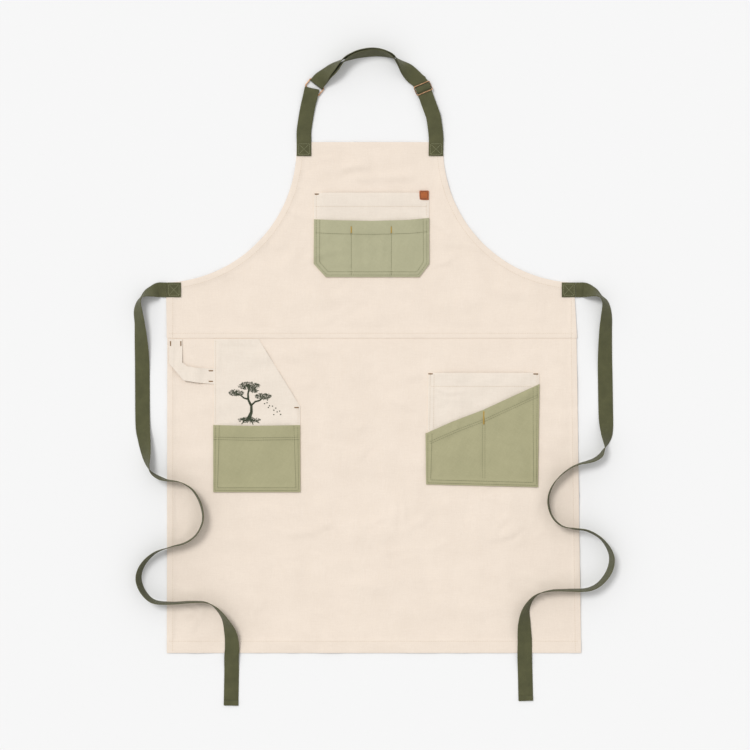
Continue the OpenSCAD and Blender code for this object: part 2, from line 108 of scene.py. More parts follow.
def to_line(x, y, points):
    """Distance to a polyline, the side it is on, and how far along it the nearest point is, 0 to 1."""
    points = np.array(points, float)
    lengths = np.linalg.norm(np.diff(points, axis=0), axis=1)
    starts = np.concatenate([[0], np.cumsum(lengths)])
    best = np.full(np.shape(x), 1e9)
    side, along = np.zeros(np.shape(x)), np.zeros(np.shape(x))
    for i, length in enumerate(lengths):
        d = (points[i + 1] - points[i]) / length
        rx, ry = x - points[i][0], y - points[i][1]
        t = np.clip(rx * d[0] + ry * d[1], 0, length)
        gap = np.hypot(rx - t * d[0], ry - t * d[1])
        near = gap < best
        best = np.where(near, gap, best)
        side = np.where(near, np.sign(d[0] * ry - d[1] * rx), side)
        along = np.where(near, (starts[i] + t) / starts[-1], along)
    return best, side, along


def nearest(x, y, lines):
    """Distance to the nearest of several polylines."""
    return np.min([to_line(x, y, line)[0] for line in lines], axis=0)


def groove(d, width=GROOVE_W):
    """1 on a line and 0 away from it, for a distance d to that line."""
    return np.exp(-((d / width) ** 2))


def crease(x, y, points, width, height):
    """A soft ridge along a polyline with a shallow valley on its right."""
    gap, side, along = to_line(x, y, points)
    s = gap * side / width
    fade = np.sin(math.pi * np.clip(along, 0.02, 0.98)) ** 0.6
    return height * fade * (np.exp(-s * s) - 0.55 * np.exp(-((s + 1.9) ** 2)))


def arc(centre, r, a0, a1, n):
    a = np.radians(np.linspace(a0, a1, n))
    return np.stack([centre[0] + r * np.cos(a), centre[1] + r * np.sin(a)], 1)


def resample(points, step, closed=False):
    """Points about step apart along a polyline, with every corner kept."""
    points = np.array(points, float)
    if closed:
        points = np.vstack([points, points[:1]])
    out = []
    for a, b in zip(points[:-1], points[1:]):
        n = max(1, int(round(np.linalg.norm(b - a) / step)))
        out += [a + (b - a) * k / n for k in range(n)]
    if not closed:
        out.append(points[-1])
    return np.array(out)


# ---------- the lie of the cloth ----------

BIB_CREASES = [
    ([(-128, 306), (-112, 318), (-95, 326), (-66, 327)], 5, 0.9),
    ([(-66, 298), (-50, 309), (-34, 313), (-8, 312)], 6, 1.0),
    ([(-56, 292), (-10, 294), (70, 293)], 7, 0.7),
    ([(20, 300), (48, 296), (78, 301)], 6, 0.5),
    ([(-130, 282), (-116, 272), (-108, 262)], 6, 0.5),
    ([(110, 300), (118, 280), (124, 262)], 7, 0.5),
    ([(-150, 100), (-90, 85), (-30, 92)], 16, 0.7),
    ([(30, 96), (110, 80), (190, 88)], 18, 0.6),
    ([(-300, 96), (-240, 70), (-190, 64)], 14, 0.6),
    ([(180, 130), (240, 92), (300, 84)], 14, 0.6),
    ([(-120, 190), (-134, 160), (-160, 140)], 10, 0.5),
    ([(108, 190), (124, 158), (150, 138)], 10, 0.5),
]
SKIRT_CREASES = [
    ([(-318, -4), (-304, -22), (-292, -34)], 7, 0.8),
    ([(-160, -2), (-142, -10), (-120, -16)], 7, 0.6),
    ([(-60, 0), (-40, -40), (-46, -90)], 20, 0.7),
    ([(40, 0), (52, -60), (40, -130)], 22, 0.7),
    ([(-110, -150), (-60, -190), (10, -196)], 24, 0.8),
    ([(60, -250), (10, -300), (-60, -318)], 26, 0.9),
    ([(-220, -262), (-160, -290), (-90, -288)], 20, 0.7),
    ([(150, -262), (200, -300), (260, -310)], 22, 0.7),
    ([(-120, -380), (-40, -400), (60, -392)], 24, 0.8),
    ([(100, -430), (160, -450), (220, -448)], 20, 0.6),
    ([(310, -20), (322, -90), (316, -160)], 14, 0.6),
]


def small_creases(count, seed):
    """Short creases here and there, most of them running across the apron."""
    rng = np.random.default_rng(seed)
    out = []
    for _ in range(count):
        x, y = rng.uniform(-330, 330), rng.uniform(-490, 330)
        turn, half = rng.normal(0.1, 0.6), rng.uniform(14, 46)
        bow = rng.uniform(-0.3, 0.3) * half
        c, s = math.cos(turn), math.sin(turn)
        points = [(x - half * c, y - half * s), (x - bow * s, y + bow * c), (x + half * c, y + half * s)]
        out.append((points, rng.uniform(2.6, 6.5), rng.uniform(0.2, 0.5)))
    return out


# Places where webbing lies on the cloth and presses it flat: x, y, radius
PRESSED = [(-119, 342, 34), (105, 342, 34), (-342, 103, 34), (335, 103, 34),
           (-242, -500, 44), (256, -500, 44)]


def lie(x, y):
    """Height of the cloth's underside over the floor."""
    h = 0.9 + 0.6 * bumps(x, y, 11, 190, 60) + 0.62 * bumps(x, y, 13, 70, 28)
    h = h + 0.2 * bumps(x, y, 12, 28, 12)
    for points, width, height in BIB_CREASES + SKIRT_CREASES + small_creases(70, 5):
        h = h + crease(x, y, points, width, 2.4 * height)
    h = 0.15 + np.log1p(np.exp(2.2 * h)) / 2.2
    for px, py, r in PRESSED:
        h = 0.12 + (h - 0.12) * smooth(0.45 * r, 1.6 * r, np.hypot(x - px, y - py))
    return h


def edge_fold(d, width, depth=0.8):
    """Extra height of a turned hem at distance d from its edge, with a groove along its stitches."""
    fold = depth * (1 - smooth(width - 0.9, width + 0.9, d))
    rounded = 0.35 * (1 - smooth(0, 1.6, d))
    return fold - 0.25 * groove(d - width + 2.0) - rounded


def side_x(y):
    """Left and right edges of the body at y."""
    t = np.clip((y - HEM_Y) / (WAIST_Y - HEM_Y), 0, 1)
    return BODY_LEFT + 0 * t, SKIRT_HIGH[0] + (BIB_HIGH[0] - SKIRT_HIGH[0]) * t


def body_edge(x, y):
    """Distance in from the body's free sides, armholes and bib top."""
    left, right = side_x(y)
    d = np.minimum(x - left, right - x)
    middle = (BIB_LEFT + BIB_RIGHT) / 2
    for c, keep in ((ARM_LEFT, x < middle), (ARM_RIGHT, x >= middle)):
        r = np.hypot(x - c[0], y - c[1]) - ARM_R
        d = np.where(keep & (y > 60), np.minimum(d, r), d)
    d = np.where((y > ARM_Y) & (x < 0), np.minimum(d, x - BIB_LEFT), d)
    d = np.where((y > ARM_Y) & (x > 0), np.minimum(d, BIB_RIGHT - x), d)
    return d


def skirt_top(x, y):
    bottom = y - HEM_Y
    side = edge_fold(body_edge(x, y), HEM_W)
    low = edge_fold(bottom, BOTTOM_HEM, 0.9)
    hem = np.where(bottom < body_edge(x, y), low, np.maximum(side, low * (bottom < BOTTOM_HEM + 2)))
    under_lap = -0.25 * smooth(WAIST_Y - 2, WAIST_Y + 3, y)
    return lie(x, y) + CANVAS_T + hem + under_lap


def lap_rise(y):
    """How far the bib is lifted over the skirt's seam allowance."""
    return 1.15 * (1 - smooth(WAIST_Y + LAP + 1, WAIST_Y + LAP + 7, y))


def bib_top(x, y):
    d = body_edge(x, y)
    side = edge_fold(d, HEM_W)
    top = 0.5 * (1 - smooth(8, 26, BIB_TOP - y)) - 0.35 * (1 - smooth(0, 1.6, BIB_TOP - y))
    hem = np.where(BIB_TOP - y < 26, np.maximum(top, side), side)
    seam = -0.35 * groove(y - WAIST_Y - WAIST_STITCH, 1.2) - 0.25 * (1 - smooth(0, 1.8, y - WAIST_Y))
    return lie(x, y) + CANVAS_T + hem + lap_rise(y) + seam


def body_top(x, y):
    return np.where(y >= WAIST_Y, bib_top(x, y), skirt_top(x, y))


# ---------- mesh making ----------


def make_mesh(name, verts, faces, sharp=(), weave=None):
    mesh = bpy.data.meshes.new(name)
    mesh.from_pydata([tuple(v) for v in np.asarray(verts) * MM], [], faces)
    mesh.validate()
    mesh.polygons.foreach_set("use_smooth", [True] * len(mesh.polygons))
    if len(sharp):
        wanted = {frozenset(e) for e in sharp}
        flags = [frozenset(e.vertices) in wanted for e in mesh.edges]
        mesh.attributes.new("sharp_edge", "BOOLEAN", "EDGE").data.foreach_set("value", flags)
    if weave is not None:
        attribute = mesh.attributes.new("weave", "FLOAT_VECTOR", "POINT")
        attribute.data.foreach_set("vector", np.asarray(weave, np.float32).ravel())
    mesh.update()
    obj = bpy.data.objects.new(name, mesh)
    bpy.context.scene.collection.objects.link(obj)
    return obj


def clear_points(points, taken, gap):
    """The points that are at least gap from every taken point."""
    tree = KDTree(len(taken))
    for i, p in enumerate(taken):
        tree.insert((p[0], p[1], 0), i)
    tree.balance()
    return [p for p in points if tree.find((p[0], p[1], 0))[2] > gap]


def inside(points, outline):
    """Which points are inside a closed outline."""
    x, y = points[:, 0], points[:, 1]
    odd = np.zeros(len(points), bool)
    for (x0, y0), (x1, y1) in zip(outline, np.roll(outline, -1, axis=0)):
        if y0 != y1:
            odd ^= ((y0 > y) != (y1 > y)) & (x < (x1 - x0) * (y - y0) / (y1 - y0) + x0)
    return odd


def cloth(name, outline, step, top, thickness, lines=()):
    """A closed sheet of cloth cut to outline. top gives its upper surface, and lines are where it is
    creased or sewn, so that the mesh has edges along them."""
    rim = resample(outline, step, closed=True)
    n = len(rim)
    taken = list(rim)
    edges = [(i, (i + 1) % n) for i in range(n)]
    for line in lines:
        pts = resample(line, step)
        pts = pts[inside(pts, rim)]
        taken += clear_points(pts, taken, step * 0.3)
    low, high = rim.min(0), rim.max(0)
    grid = []
    rows = int((high[1] - low[1]) / (step * 0.866)) + 1
    for j in range(rows):
        y = low[1] + (j + 0.5) * step * 0.866
        xs = np.arange(low[0] + step * (0.5 if j % 2 else 0.0), high[0], step)
        grid.append(np.stack([xs, np.full(len(xs), y)], 1))
    grid = np.vstack(grid)
    grid = grid[inside(grid, rim)]
    grid = clear_points(grid, taken, step * 0.55)
    points = [Vector((p[0], p[1])) for p in taken + grid]
    out = delaunay_2d_cdt(points, edges, [], 1, 1e-6)
    xy = np.array([(v.x, v.y) for v in out[0]])
    tris = [tuple(f) for f in out[2]]
    area = [np.cross(xy[b] - xy[a], xy[c] - xy[a]) for a, b, c in tris]
    tris = [t if s > 0 else t[::-1] for t, s in zip(tris, area)]
    z = top(xy[:, 0], xy[:, 1])
    under = z - (thickness(xy[:, 0], xy[:, 1]) if callable(thickness) else thickness)
    m = len(xy)
    verts = np.vstack([np.column_stack([xy, z]), np.column_stack([xy, under])])
    used = {e: True for t in tris for e in zip(t, t[1:] + t[:1])}
    border = [e for e in used if (e[1], e[0]) not in used]
    faces = list(tris) + [tuple(m + i for i in t[::-1]) for t in tris]
    faces += [(b, a, a + m, b + m) for a, b in border]
    sharp = border + [(a + m, b + m) for a, b in border]
    return make_mesh(name, verts, faces, sharp)


def swept_faces(rings, sides, start=0, closed=False):
    """Faces of a tube of rings, each with so many sides, from vertex start on. Open ends are capped."""
    faces = []
    for i in range(rings if closed else rings - 1):
        p, q = start + i * sides, start + (i + 1) % rings * sides
        for k in range(sides):
            j = (k + 1) % sides
            faces.append((p + k, p + j, q + j, q + k))
    if not closed:
        faces.append(tuple(range(start, start + sides))[::-1])
        faces.append(tuple(range(start + (rings - 1) * sides, start + rings * sides)))
    return faces


def webbing_mesh(name, centres, widths, normals, width=WEB_W, thick=WEB_T):
    """Webbing swept along frames, with the distance along and across it kept for its weave."""
    half, r = width / 2, thick / 2
    flat = np.linspace(-half + r, half - r, 9)
    section = [(s, r) for s in flat] + [(half - r * 0.3, r * 0.7), (half, 0), (half - r * 0.3, -r * 0.7)]
    section += [(s, -r) for s in flat[::-1]]
    section += [(-half + r * 0.3, -r * 0.7), (-half, 0), (-half + r * 0.3, r * 0.7)]
    section = np.array(section)
    n, m = len(centres), len(section)
    verts = (
        centres[:, None, :]
        + widths[:, None, :] * section[None, :, :1]
        + normals[:, None, :] * section[None, :, 1:]
    ).reshape(-1, 3)
    along = np.concatenate([[0], np.cumsum(np.linalg.norm(np.diff(centres, axis=0), axis=1))])
    weave = np.zeros((n, m, 3))
    weave[:, :, 0] = along[:, None]
    weave[:, :, 1] = section[None, :, 0]
    weave[:, :, 2] = section[None, :, 1]
    sharp = [(end + j, end + (j + 1) % m) for end in (0, (n - 1) * m) for j in range(m)]
    return make_mesh(name, verts, swept_faces(n, m), sharp, weave.reshape(-1, 3))


def spline(rows, per):
    """Catmull-Rom curve through rows, with per points between each two."""
    rows = np.array(rows, float)
    padded = np.vstack([rows[0], rows, rows[-1]])
    out = []
    for i in range(len(rows) - 1):
        a, b, c, d = padded[i : i + 4]
        for k in range(per):
            t = k / per
            out.append(
                0.5 * (2 * b + (c - a) * t + (2 * a - 5 * b + 4 * c - d) * t * t
                       + (3 * b - a - 3 * c + d) * t**3)
            )
    return np.array(out + [rows[-1]])


def web_frames(rows, per=10):
    """Centres, width directions and face normals along rows of x, y, tilt and lowest height."""
    r = spline(rows, per)
    d = np.gradient(r[:, :2], axis=0)
    h = np.arctan2(d[:, 1], d[:, 0])
    t = np.radians(r[:, 2])
    w = np.stack([np.sin(h) * np.cos(t), -np.cos(h) * np.cos(t), -np.sin(t)], 1)
    u = np.stack([np.sin(h) * np.sin(t), -np.cos(h) * np.sin(t), np.cos(t)], 1)
    z = r[:, 3] + WEB_T / 2 + WEB_W / 2 * np.abs(np.sin(t))
    return np.column_stack([r[:, 0], r[:, 1], z]), w, u


def join_frames(*parts):
    return tuple(np.vstack([p[k] for p in parts]) for k in range(3))


# ---------- materials ----------


def new_material(name):
    mat = bpy.data.materials.new(name)
    mat.use_nodes = True
    tree = mat.node_tree
    return mat, tree, tree.nodes["Principled BSDF"]


def add(tree, kind, **values):
    node = tree.nodes.new(kind)
    for key, value in values.items():
        if key.startswith("in_"):
            node.inputs[key[3:].replace("_", " ")].default_value = value
        else:
            setattr(node, key, value)
    return node


def ramp(tree, factor, stops):
    node = tree.nodes.new("ShaderNodeValToRGB")
    e = node.color_ramp.elements
    while len(e) < len(stops):
        e.new(0.5)
    for element, (at, colour) in zip(e, stops):
        element.position = at
        element.color = (*colour, 1)
    tree.links.new(factor, node.inputs["Fac"])
    return node.outputs["Color"]


def math_node(tree, operation, a, b):
    node = add(tree, "ShaderNodeMath", operation=operation)
    for socket, value in zip(node.inputs, (a, b)):
        if isinstance(value, (int, float)):
            socket.default_value = value
        else:
            tree.links.new(value, socket)
    return node.outputs[0]


def weighted(tree, *terms):
    """Sum of sockets, each times a number."""
    parts = [math_node(tree, "MULTIPLY", socket, weight) for socket, weight in terms]
    total = parts[0]
    for part in parts[1:]:
        total = math_node(tree, "ADD", total, part)
    return total


def blend_to(tree, factor, socket, colour):
    """The colour on a socket, going over to a fixed colour as factor goes to 1."""
    node = add(tree, "ShaderNodeMix", data_type="RGBA")
    node.inputs[7].default_value = (*colour, 1)
    tree.links.new(factor, node.inputs[0])
    tree.links.new(socket, node.inputs[6])
    return node.outputs[2]


def noise(tree, vector, scale, detail=3, rough=0.5):
    node = add(tree, "ShaderNodeTexNoise", in_Scale=scale, in_Detail=detail, in_Roughness=rough)
    tree.links.new(vector, node.inputs["Vector"])
    return node.outputs["Fac"]


def wave(tree, vector, scale, direction, distortion=0.0):
    node = add(tree, "ShaderNodeTexWave", wave_type="BANDS", bands_direction=direction,
               in_Scale=scale, in_Distortion=distortion, in_Detail=1.0)
    node.inputs["Detail Scale"].default_value = 1.5
    tree.links.new(vector, node.inputs["Vector"])
    return node.outputs["Fac"]


def relief(tree, shader, *layers):
    """Puts bumps of height socket, strength and distance in metres on the shader, the coarsest first."""
    normal = None
    for height, strength, distance in layers:
        node = add(tree, "ShaderNodeBump", in_Strength=strength, in_Distance=distance)
        tree.links.new(height, node.inputs["Height"])
        if normal is not None:
            tree.links.new(normal, node.inputs["Normal"])
        normal = node.outputs["Normal"]
    tree.links.new(normal, shader.inputs["Normal"])


def constants(shader, **values):
    for key, value in values.items():
        shader.inputs[key.replace("_", " ")].default_value = value


# Distance in metres between the bands of a wave texture whose scale is 1
BAND_PERIOD = 0.314


def woven(name, light, dark, pitch, sheen, twill=False):
    """Canvas or twill in object space: yarns pitch millimetres apart, slubs, and an uneven tone."""
    mat, tree, shader = new_material(name)
    place = add(tree, "ShaderNodeTexCoord").outputs["Object"]
    turned = add(tree, "ShaderNodeMapping")
    turned.inputs["Rotation"].default_value = (0, 0, math.radians(32 if twill else 0))
    tree.links.new(place, turned.inputs["Vector"])
    at = turned.outputs["Vector"]
    scale = BAND_PERIOD / (pitch * MM)
    across = wave(tree, at, scale, "X", 0.6)
    along = wave(tree, at, scale * (0.5 if twill else 1), "Y", 0.6)
    yarn = math_node(tree, "MULTIPLY", across, along) if not twill else across
    slub = noise(tree, at, 420, 2, 0.6)
    cloud = noise(tree, at, 14, 4, 0.6)
    for stretch in ((1, 14, 1), (14, 1, 1)):
        drawn = add(tree, "ShaderNodeMapping")
        drawn.inputs["Scale"].default_value = stretch
        tree.links.new(at, drawn.inputs["Vector"])
        streak = noise(tree, drawn.outputs["Vector"], 46, 3, 0.65)
        streak = math_node(tree, "SUBTRACT", streak, 0.5)
        cloud = weighted(tree, (cloud, 1.0), (streak, 0.8))
    fibre = noise(tree, at, 2600, 2, 0.7)
    tone = weighted(tree, (cloud, 0.45), (slub, 0.35), (yarn, 0.2))
    tree.links.new(ramp(tree, tone, [(0.2, dark), (0.8, light)]), shader.inputs["Base Color"])
    constants(shader, Roughness=0.85, Sheen_Weight=sheen, Sheen_Roughness=0.5, Specular_IOR_Level=0.25)
    relief(tree, shader, (yarn, 0.35, 0.00025), (slub, 0.25, 0.0004), (fibre, 0.15, 0.0001))
    return mat


def webbing_material(name, light, dark, worn):
    """Ribbed webbing: chevron ribs along it, a denser selvedge, and paler wear along its edges."""
    mat, tree, shader = new_material(name)
    weave = add(tree, "ShaderNodeAttribute", attribute_name="weave")
    split = add(tree, "ShaderNodeSeparateXYZ")
    tree.links.new(weave.outputs["Vector"], split.inputs[0])
    along, across = split.outputs["X"], split.outputs["Y"]
    zig = math_node(tree, "PINGPONG", across, 3.1)
    lean = weighted(tree, (along, 1.0), (zig, 0.7))
    rib = math_node(tree, "SINE", math_node(tree, "MULTIPLY", lean, 2 * math.pi / 1.7), 0)
    rows = math_node(tree, "SINE", math_node(tree, "MULTIPLY", across, 2 * math.pi / 1.6), 0)
    yarn = weighted(tree, (rib, 0.6), (rows, 0.5))
    edge = math_node(tree, "SUBTRACT", math_node(tree, "ABSOLUTE", across, 0), WEB_W / 2 - 1.4)
    edge = math_node(tree, "MULTIPLY", math_node(tree, "MAXIMUM", edge, 0), 0.7)
    cloud = noise(tree, weave.outputs["Vector"], 0.05, 4, 0.6)
    grain = noise(tree, weave.outputs["Vector"], 1.8, 2, 0.7)
    tone = weighted(tree, (cloud, 0.5), (grain, 0.3), (yarn, 0.2))
    base = ramp(tree, tone, [(0.2, dark), (0.75, light)])
    colour = blend_to(tree, math_node(tree, "MINIMUM", edge, 0.5), base, worn)
    tree.links.new(colour, shader.inputs["Base Color"])
    constants(shader, Roughness=0.82, Sheen_Weight=0.12, Specular_IOR_Level=0.25)
    relief(tree, shader, (yarn, 0.7, 0.0003), (grain, 0.3, 0.0002))
    return mat


def thread_material(name, light, dark):
    """Twisted sewing thread."""
    mat, tree, shader = new_material(name)
    place = add(tree, "ShaderNodeTexCoord").outputs["Object"]
    twist = noise(tree, place, 1800, 2, 0.6)
    tree.links.new(ramp(tree, twist, [(0.3, dark), (0.7, light)]), shader.inputs["Base Color"])
    constants(shader, Roughness=0.55, Sheen_Weight=0.15)
    relief(tree, shader, (twist, 0.4, 0.0002))
    return mat


def metal_material(name):
    """Antique brass: darker in its recesses, brighter where it rubs, with fine scratches."""
    mat, tree, shader = new_material(name)
    place = add(tree, "ShaderNodeTexCoord").outputs["Object"]
    patina = noise(tree, place, 260, 4, 0.6)
    scratch = noise(tree, place, 2400, 2, 0.7)
    edge = add(tree, "ShaderNodeNewGeometry").outputs["Pointiness"]
    worn = math_node(tree, "MULTIPLY", math_node(tree, "SUBTRACT", edge, 0.5), 3.0)
    tone = math_node(tree, "ADD", patina, worn)
    colour = ramp(tree, tone, [(0.3, (0.20, 0.10, 0.055)), (0.55, (0.40, 0.22, 0.12)),
                               (0.8, (0.66, 0.42, 0.25))])
    tree.links.new(colour, shader.inputs["Base Color"])
    constants(shader, Metallic=1.0)
    rough = add(tree, "ShaderNodeMapRange", in_To_Min=0.25, in_To_Max=0.5)
    tree.links.new(scratch, rough.inputs["Value"])
    tree.links.new(rough.outputs["Result"], shader.inputs["Roughness"])
    relief(tree, shader, (scratch, 0.12, 0.0001))
    return mat


def leather_material(name):
    """Tan leather with fine pores."""
    mat, tree, shader = new_material(name)
    place = add(tree, "ShaderNodeTexCoord").outputs["Object"]
    pores = add(tree, "ShaderNodeTexVoronoi", in_Scale=1500.0)
    tree.links.new(place, pores.inputs["Vector"])
    cloud = noise(tree, place, 120, 4, 0.6)
    tone = weighted(tree, (cloud, 1.0), (pores.outputs["Distance"], 0.25))
    colour = ramp(tree, tone, [(0.3, (0.25, 0.062, 0.018)), (0.8, (0.43, 0.125, 0.036))])
    tree.links.new(colour, shader.inputs["Base Color"])
    constants(shader, Roughness=0.7, Specular_IOR_Level=0.25)
    relief(tree, shader, (pores.outputs["Distance"], 0.4, 0.0002))
    return mat


CREAM = woven("cream_canvas", (0.86, 0.755, 0.652), (0.77, 0.665, 0.564), 0.9, 0.05)
CREAM_POCKET = woven("cream_pocket_canvas", (0.845, 0.76, 0.665), (0.745, 0.66, 0.567), 0.9, 0.05)
SAGE = woven("sage_twill", (0.425, 0.40, 0.242), (0.345, 0.33, 0.190), 0.8, 0.08, twill=True)
SAGE_LIGHT = woven("sage_light_twill", (0.455, 0.44, 0.287), (0.37, 0.36, 0.228), 0.8, 0.08, twill=True)
OLIVE = webbing_material("olive_webbing", (0.136, 0.135, 0.060), (0.062, 0.063, 0.028), (0.10, 0.10, 0.045))
CREAM_THREAD = thread_material("cream_thread", (0.72, 0.60, 0.46), (0.56, 0.45, 0.33))
GREEN_THREAD = thread_material("green_thread", (0.19, 0.185, 0.09), (0.11, 0.11, 0.05))
PATCH_THREAD = thread_material("patch_thread", (0.10, 0.04, 0.018), (0.05, 0.02, 0.01))
OLIVE_THREAD = thread_material("olive_thread", (0.27, 0.27, 0.14), (0.18, 0.18, 0.09))
GOLD_THREAD = thread_material("gold_thread", (0.55, 0.36, 0.06), (0.38, 0.23, 0.03))
BROWN_THREAD = thread_material("brown_thread", (0.31, 0.17, 0.065), (0.19, 0.10, 0.035))
FOREST_THREAD = thread_material("forest_thread", (0.05, 0.065, 0.022), (0.014, 0.022, 0.008))
BRASS = metal_material("antique_brass")
LEATHER = leather_material("tan_leather")


def dress(obj, material, slot, body, *nodes):
    """Gives a piece its material and body, and hides the CAD nodes that it stands for. slot is not used."""
    obj.data.materials.clear()
    obj.data.materials.append(material)
    if body:
        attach(obj, body)
    if nodes:
        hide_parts(*nodes)
    return obj


# ---------- camera, light and floor ----------

VIEW_MM = 1275.0
VIEW_CENTRE = (1.7, -41.7)
FLOOR_HALF = 4000.0
FLOOR_Z = -0.3
KEY_FROM = (-0.40, 0.42, 1.0)
LENS = 110.0
SENSOR = 36.0

camera_data = bpy.data.cameras.new("camera")
camera_data.lens = LENS
camera_data.sensor_width = SENSOR
camera_data.clip_end = 50
camera = bpy.data.objects.new("camera", camera_data)
camera.location = (VIEW_CENTRE[0] * MM, VIEW_CENTRE[1] * MM, VIEW_MM * MM * LENS / SENSOR)
bpy.context.scene.collection.objects.link(camera)
bpy.context.scene.camera = camera

bpy.context.scene.view_settings.view_transform = "Standard"
world = bpy.data.worlds.new("studio")
world.use_nodes = True
constants(world.node_tree.nodes["Background"], Color=(1.0, 1.0, 1.0, 1), Strength=0.695)
bpy.context.scene.world = world

sun = bpy.data.lights.new("key", "SUN")
sun.energy = 1.5
sun.angle = 0.36
key = bpy.data.objects.new("key", sun)
key.rotation_mode = "QUATERNION"
key.rotation_quaternion = Vector(KEY_FROM).to_track_quat("Z", "Y")
bpy.context.scene.collection.objects.link(key)

floor = make_mesh("floor", [(x * FLOOR_HALF, y * FLOOR_HALF, FLOOR_Z) for x, y in
                            ((-1, -1), (1, -1), (1, 1), (-1, 1))], [(0, 1, 2, 3)])
floor_mat, _, floor_shader = new_material("pale_floor")
constants(floor_shader, Base_Color=(0.84, 0.84, 0.84, 1), Roughness=0.9, Specular_IOR_Level=0.1)
floor.data.materials.append(floor_mat)

# ---------- waist ties: the two free cords ----------

SEWN_Z = 2.3
OVER = 2.5
TIE_Y = 103.0
LEFT_TIE = [
    (-352, 103, 0, SEWN_Z), (-358, 103, 0, 1.9), (-365, 103, 0, 1.3), (-376, 100.5, 38, 0.2),
    (-386, 97, 60, 0.2), (-394.5, 90, 80, 0.2), (-399, 80, 66, 0.2), (-400, 66, 50, 0.2),
    (-397.5, 46, 42, 0.1), (-395.7, 22, 28, 0.1), (-394, -14, 8, 0.1), (-393.6, -60, 0, 0.1),
    (-393, -125, 6, 0.1), (-390, -152, 27, 0.1), (-387, -172, 43, 0.1), (-385, -187, 62, 0.1),
    (-382, -199, 80, 0.2), (-378, -206, 90, 0.2), (-371, -212, 96, 0.5), (-361, -217, 98, 1.5),
    (-350, -220, 92, OVER), (-334, -222, 88, OVER), (-320, -227, 84, OVER),
    (-305, -239, 80, OVER), (-293, -262, 79, OVER), (-290, -288, 82, OVER),
    (-301, -312, 86, OVER), (-320, -326, 88, OVER), (-345, -333, 92, OVER),
    (-371, -343, 98, 1.6), (-391, -362, 104, 0.2), (-399, -385, 107, 0.2),
    (-392, -408, 104, 0.2), (-374, -425, 99, 1.4), (-345, -428, 94, OVER),
    (-310, -426, 91, OVER), (-284, -427, 86, OVER), (-266, -438, 76, OVER),
    (-252, -457, 62, OVER), (-243, -482, 28, OVER), (-241, -505, 8, OVER), (-242, -521, 3, 2.2),
    (-242, -549, 0, 0.1), (-243, -603, 0, 0.1),
]
RIGHT_TIE = [
    (343, 103, 0, SEWN_Z), (349, 103, 0, 1.9), (356, 103, 0, 1.3), (367, 101, -35, 0.2),
    (376.5, 97.5, -58, 0.2), (385, 91, -76, 0.2), (391.5, 82, -62, 0.2), (394, 70, -48, 0.2),
    (394.2, 54, -34, 0.1), (393, 30, -24, 0.1), (392.4, -10, -10, 0.1), (393, -50, 0, 0.1),
    (394, -110, -4, 0.1), (395, -140, -32, 0.1), (394, -154, -58, 0.1), (392, -163, -80, 0.1),
    (389, -169, -91, 0.2), (384, -178, -100, 0.2), (374, -185, -99, 0.6), (362, -189, -96, 1.9),
    (349, -192, -91, OVER), (333, -199, -88, OVER), (316, -212, -86, OVER),
    (303, -228, -83, OVER), (296, -246, -81, OVER), (296, -264, -81, OVER),
    (303, -283, -84, OVER), (318, -297, -88, OVER), (339, -302, -97, OVER),
    (363, -306, -98, 2.3), (387, -321, -97, 0.4), (402, -346, -104, 0.2),
    (400, -371, -106, 0.2), (384, -394, -101, 0.6), (362, -405, -97, 2.4),
    (330, -406, -93, OVER), (298, -407, -88, OVER), (273, -416, -78, OVER),
    (258, -438, -58, OVER), (255, -465, -28, OVER), (256, -495, -8, OVER), (256, -521, -3, 2.2),
    (257, -551, 0, 0.1), (258, -595, 0, 0.1),
]
TIE_END_L = 8.0


def waist_tie(name, route, node):
    c, w, u = web_frames(route, 12)
    tie = webbing_mesh(name, c, w, u)
    dress(tie, OLIVE, "webbing", "apron", node)
    back = c[-1] - c[-2]
    back = back / np.linalg.norm(back)
    end_c = np.array([c[-1] + np.array([0, 0, WEB_T]) - back * s for s in (TIE_END_L, 4.0, -0.3)])
    end_w, end_u = np.repeat(w[-1:], 3, 0), np.repeat(u[-1:], 3, 0)
    hem = webbing_mesh(name + "_end_hem", end_c, end_w, end_u, WEB_W - 0.4)
    dress(hem, OLIVE, "webbing", "apron")
    return tie


waist_tie("left_tie", LEFT_TIE, "left_waist_tie")
waist_tie("right_tie", RIGHT_TIE, "right_waist_tie")

# ---------- canvas panels ----------


PANEL_STEP, POCKET_STEP, STRIP_STEP = ((5.0, 3.4, 2.2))


def hemmed_thickness(d):
    return CANVAS_T + 0.9 * np.maximum(edge_fold(d, HEM_W), 0)


def bib_outline():
    right = arc(ARM_RIGHT, ARM_R, -92, -180, 70)
    left = arc(ARM_LEFT, ARM_R, 0, -88, 70)
    return np.vstack([[(BODY_LEFT, WAIST_Y), (BIB_HIGH[0], WAIST_Y)], right,
                      [(BIB_RIGHT, BIB_TOP), (BIB_LEFT, BIB_TOP)], left])


def inner_arcs(d):
    return [arc(ARM_RIGHT, ARM_R + d, -93, -180, 70), arc(ARM_LEFT, ARM_R + d, 0, -87, 70)]


def row_across(y, left, right):
    return [(left + 2, y), (right - 2, y)]


